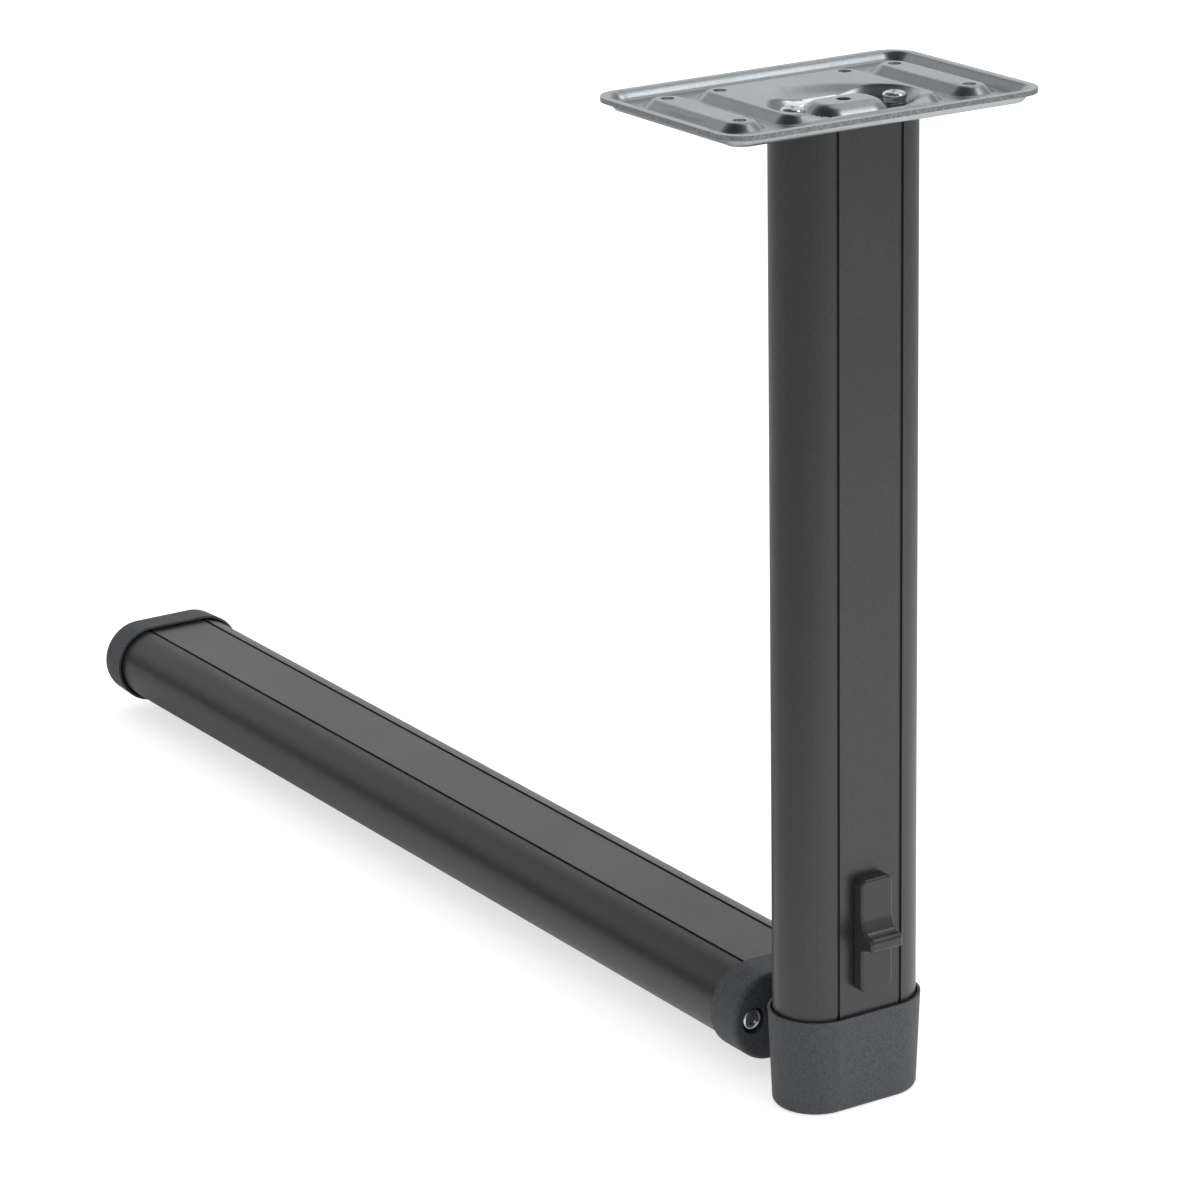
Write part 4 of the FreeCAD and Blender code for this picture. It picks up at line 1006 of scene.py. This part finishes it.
def build_world(studio):
    """White to the camera, even light on matt surfaces, and in gloss a bright backdrop in front of
    the camera that darkens upward and to the back left, with a glow high on the right."""
    world = bpy.data.worlds.new("studio")
    bpy.context.scene.world = world
    world.use_nodes = True
    tree = world.node_tree
    back = tree.nodes["Background"]
    paths = tree.nodes.new("ShaderNodeLightPath")
    direction = tree.nodes.new("ShaderNodeTexCoord").outputs["Generated"]
    split = tree.nodes.new("ShaderNodeSeparateXYZ")
    link(tree, direction, split.inputs[0])
    backdrop = spread(
        tree, toward(tree, direction, BRIGHT_BACKDROP), 0.5 * studio.backdrop, studio.backdrop, (0.55, 0.85)
    )
    gap = spread(tree, toward(tree, direction, DARK_GAP), 1.0, 0.2, (0.955, 0.992))
    high = spread(tree, split.outputs["Z"], 1.0, 0.25, (0.50, 0.68))
    zenith = spread(tree, split.outputs["Z"], 1.0, 0.25, (0.68, 0.97))
    level = times(tree, times(tree, backdrop, gap), times(tree, high, zenith))
    above = spread(tree, toward(tree, direction, BRIGHT_ABOVE), 0.0, 0.8, (0.92, 0.965))
    level = arithmetic(tree, "MAXIMUM", level, above)
    gloss = arithmetic(tree, "MAXIMUM", paths.outputs["Is Glossy Ray"], paths.outputs["Is Transmission Ray"])
    level = times(tree, level, gloss)
    level = arithmetic(tree, "MAXIMUM", level, paths.outputs["Is Camera Ray"])
    matt = arithmetic(tree, "SUBTRACT", 1.0, gloss)
    level = arithmetic(tree, "MAXIMUM", level, times(tree, matt, studio.ambient))
    link(tree, level, back.inputs["Strength"])
    back.inputs["Color"].default_value = (1, 1, 1, 1)


def floor_material(tint):
    """Pale floor that the camera sees as the white backdrop, with its shadow, and that reflections see with a
    painted patch of light near the object, an emission for glossy rays only.
    """
    material, tree, shader, place = start_material("pale_floor")
    shader.inputs["Base Color"].default_value = rgba(tint)
    shader.inputs["Roughness"].default_value = 0.9
    shader.inputs["Specular IOR Level"].default_value = 0.1
    paths = tree.nodes.new("ShaderNodeLightPath")
    away = tree.nodes.new("ShaderNodeVectorMath")
    away.operation = "DISTANCE"
    link(tree, place, away.inputs[0])
    away.inputs[1].default_value = PAINTED_POOL_CENTRE
    # Painted light: the floor emits a bright patch for glossy rays only, fading out from its middle, in place
    # of lamp-lit floor in reflections.
    painted_light_pool = spread(tree, away.outputs["Value"], 0.55, 0.0, (0.15, 0.75))
    glow = times(tree, paths.outputs["Is Glossy Ray"], painted_light_pool)
    seen = arithmetic(tree, "MULTIPLY_ADD", paths.outputs["Is Camera Ray"], 0.62, glow)
    link(tree, seen, shader.inputs["Emission Strength"])
    shader.inputs["Emission Color"].default_value = (1, 1, 1, 1)
    return material


class LEG_OT_stage(bpy.types.Operator):
    """Set the floor, the lamps and the camera of the photograph"""

    bl_idname = "leg.stage"
    bl_label = "Stage"

    def execute(self, context):
        studio = context.scene.leg_studio
        scene = context.scene
        scene.view_settings.view_transform = "Standard"
        build_world(studio)
        bpy.ops.mesh.primitive_circle_add(radius=6, vertices=96, fill_type="NGON")
        floor = context.object
        floor.name = "floor"
        dress(floor, floor_material(studio.floor_colour))
        key = area_lamp("key_lamp", KEY_PLACE, KEY_TARGET, KEY_SIZE, studio.key, KEY_SPREAD)
        key.visible_glossy = False
        area_lamp("softbox", SOFTBOX_PLACE, SOFTBOX_TARGET, SOFTBOX_SIZE, studio.softbox)
        scene.camera = photo_camera(studio)
        return {"FINISHED"}


def photo_camera(studio):
    """The camera that the photograph was taken with, fitted to the object's edges."""
    turn, tilt, roll = studio.azimuth, studio.tilt, studio.roll
    right = Vector((math.cos(turn), -math.sin(turn), 0))
    ahead = Vector((math.sin(turn) * math.cos(tilt), math.cos(turn) * math.cos(tilt), -math.sin(tilt)))
    up = right.cross(ahead)
    across = math.cos(roll) * right + math.sin(roll) * up
    above = -math.sin(roll) * right + math.cos(roll) * up
    scale = studio.distance / studio.focal
    shift_x = (studio.aim_x - PHOTO_SIDE / 2) * scale
    shift_y = -(studio.aim_y - PHOTO_SIDE / 2) * scale
    lens = bpy.data.cameras.new("photo_camera")
    lens.sensor_width = 36.0
    lens.lens = studio.focal * lens.sensor_width / PHOTO_SIDE
    lens.clip_start = 0.01
    holder = bpy.data.objects.new("photo_camera", lens)
    bpy.context.scene.collection.objects.link(holder)
    place = Vector((0, 0, studio.aim_height)) - shift_x * across - shift_y * above - studio.distance * ahead
    axes = Matrix((across, above, -ahead)).transposed().to_4x4()
    holder.matrix_world = Matrix.Translation(place) @ axes
    return holder


class LEG_PT_panel(bpy.types.Panel):
    """Lists the steps that dress the leg"""

    bl_label = "Folding leg"
    bl_idname = "LEG_PT_panel"
    bl_space_type = "VIEW_3D"
    bl_region_type = "UI"
    bl_category = "Leg"

    def draw(self, context):
        for step in STEPS:
            self.layout.operator(step.bl_idname)


STEPS = (LEG_OT_finishes, LEG_OT_mounting_plate, LEG_OT_slider, LEG_OT_fasteners, LEG_OT_stage)
GROUPS = {
    "leg_plate": PlateSizes,
    "leg_slider": SliderSizes,
    "leg_screws": ScrewSizes,
    "leg_colours": FinishColours,
    "leg_studio": StudioSettings,
}


def register():
    for kind in (*GROUPS.values(), *STEPS, LEG_PT_panel):
        bpy.utils.register_class(kind)
    for name, kind in GROUPS.items():
        setattr(bpy.types.Scene, name, PointerProperty(type=kind))


def unregister():
    for name in GROUPS:
        delattr(bpy.types.Scene, name)
    for kind in reversed((*GROUPS.values(), *STEPS, LEG_PT_panel)):
        bpy.utils.unregister_class(kind)


def main():
    register()
    grain_group()
    drawn_group()
    for step in STEPS:
        category, action = step.bl_idname.split(".")
        getattr(getattr(bpy.ops, category), action)()


if __name__ == "__main__":
    main()
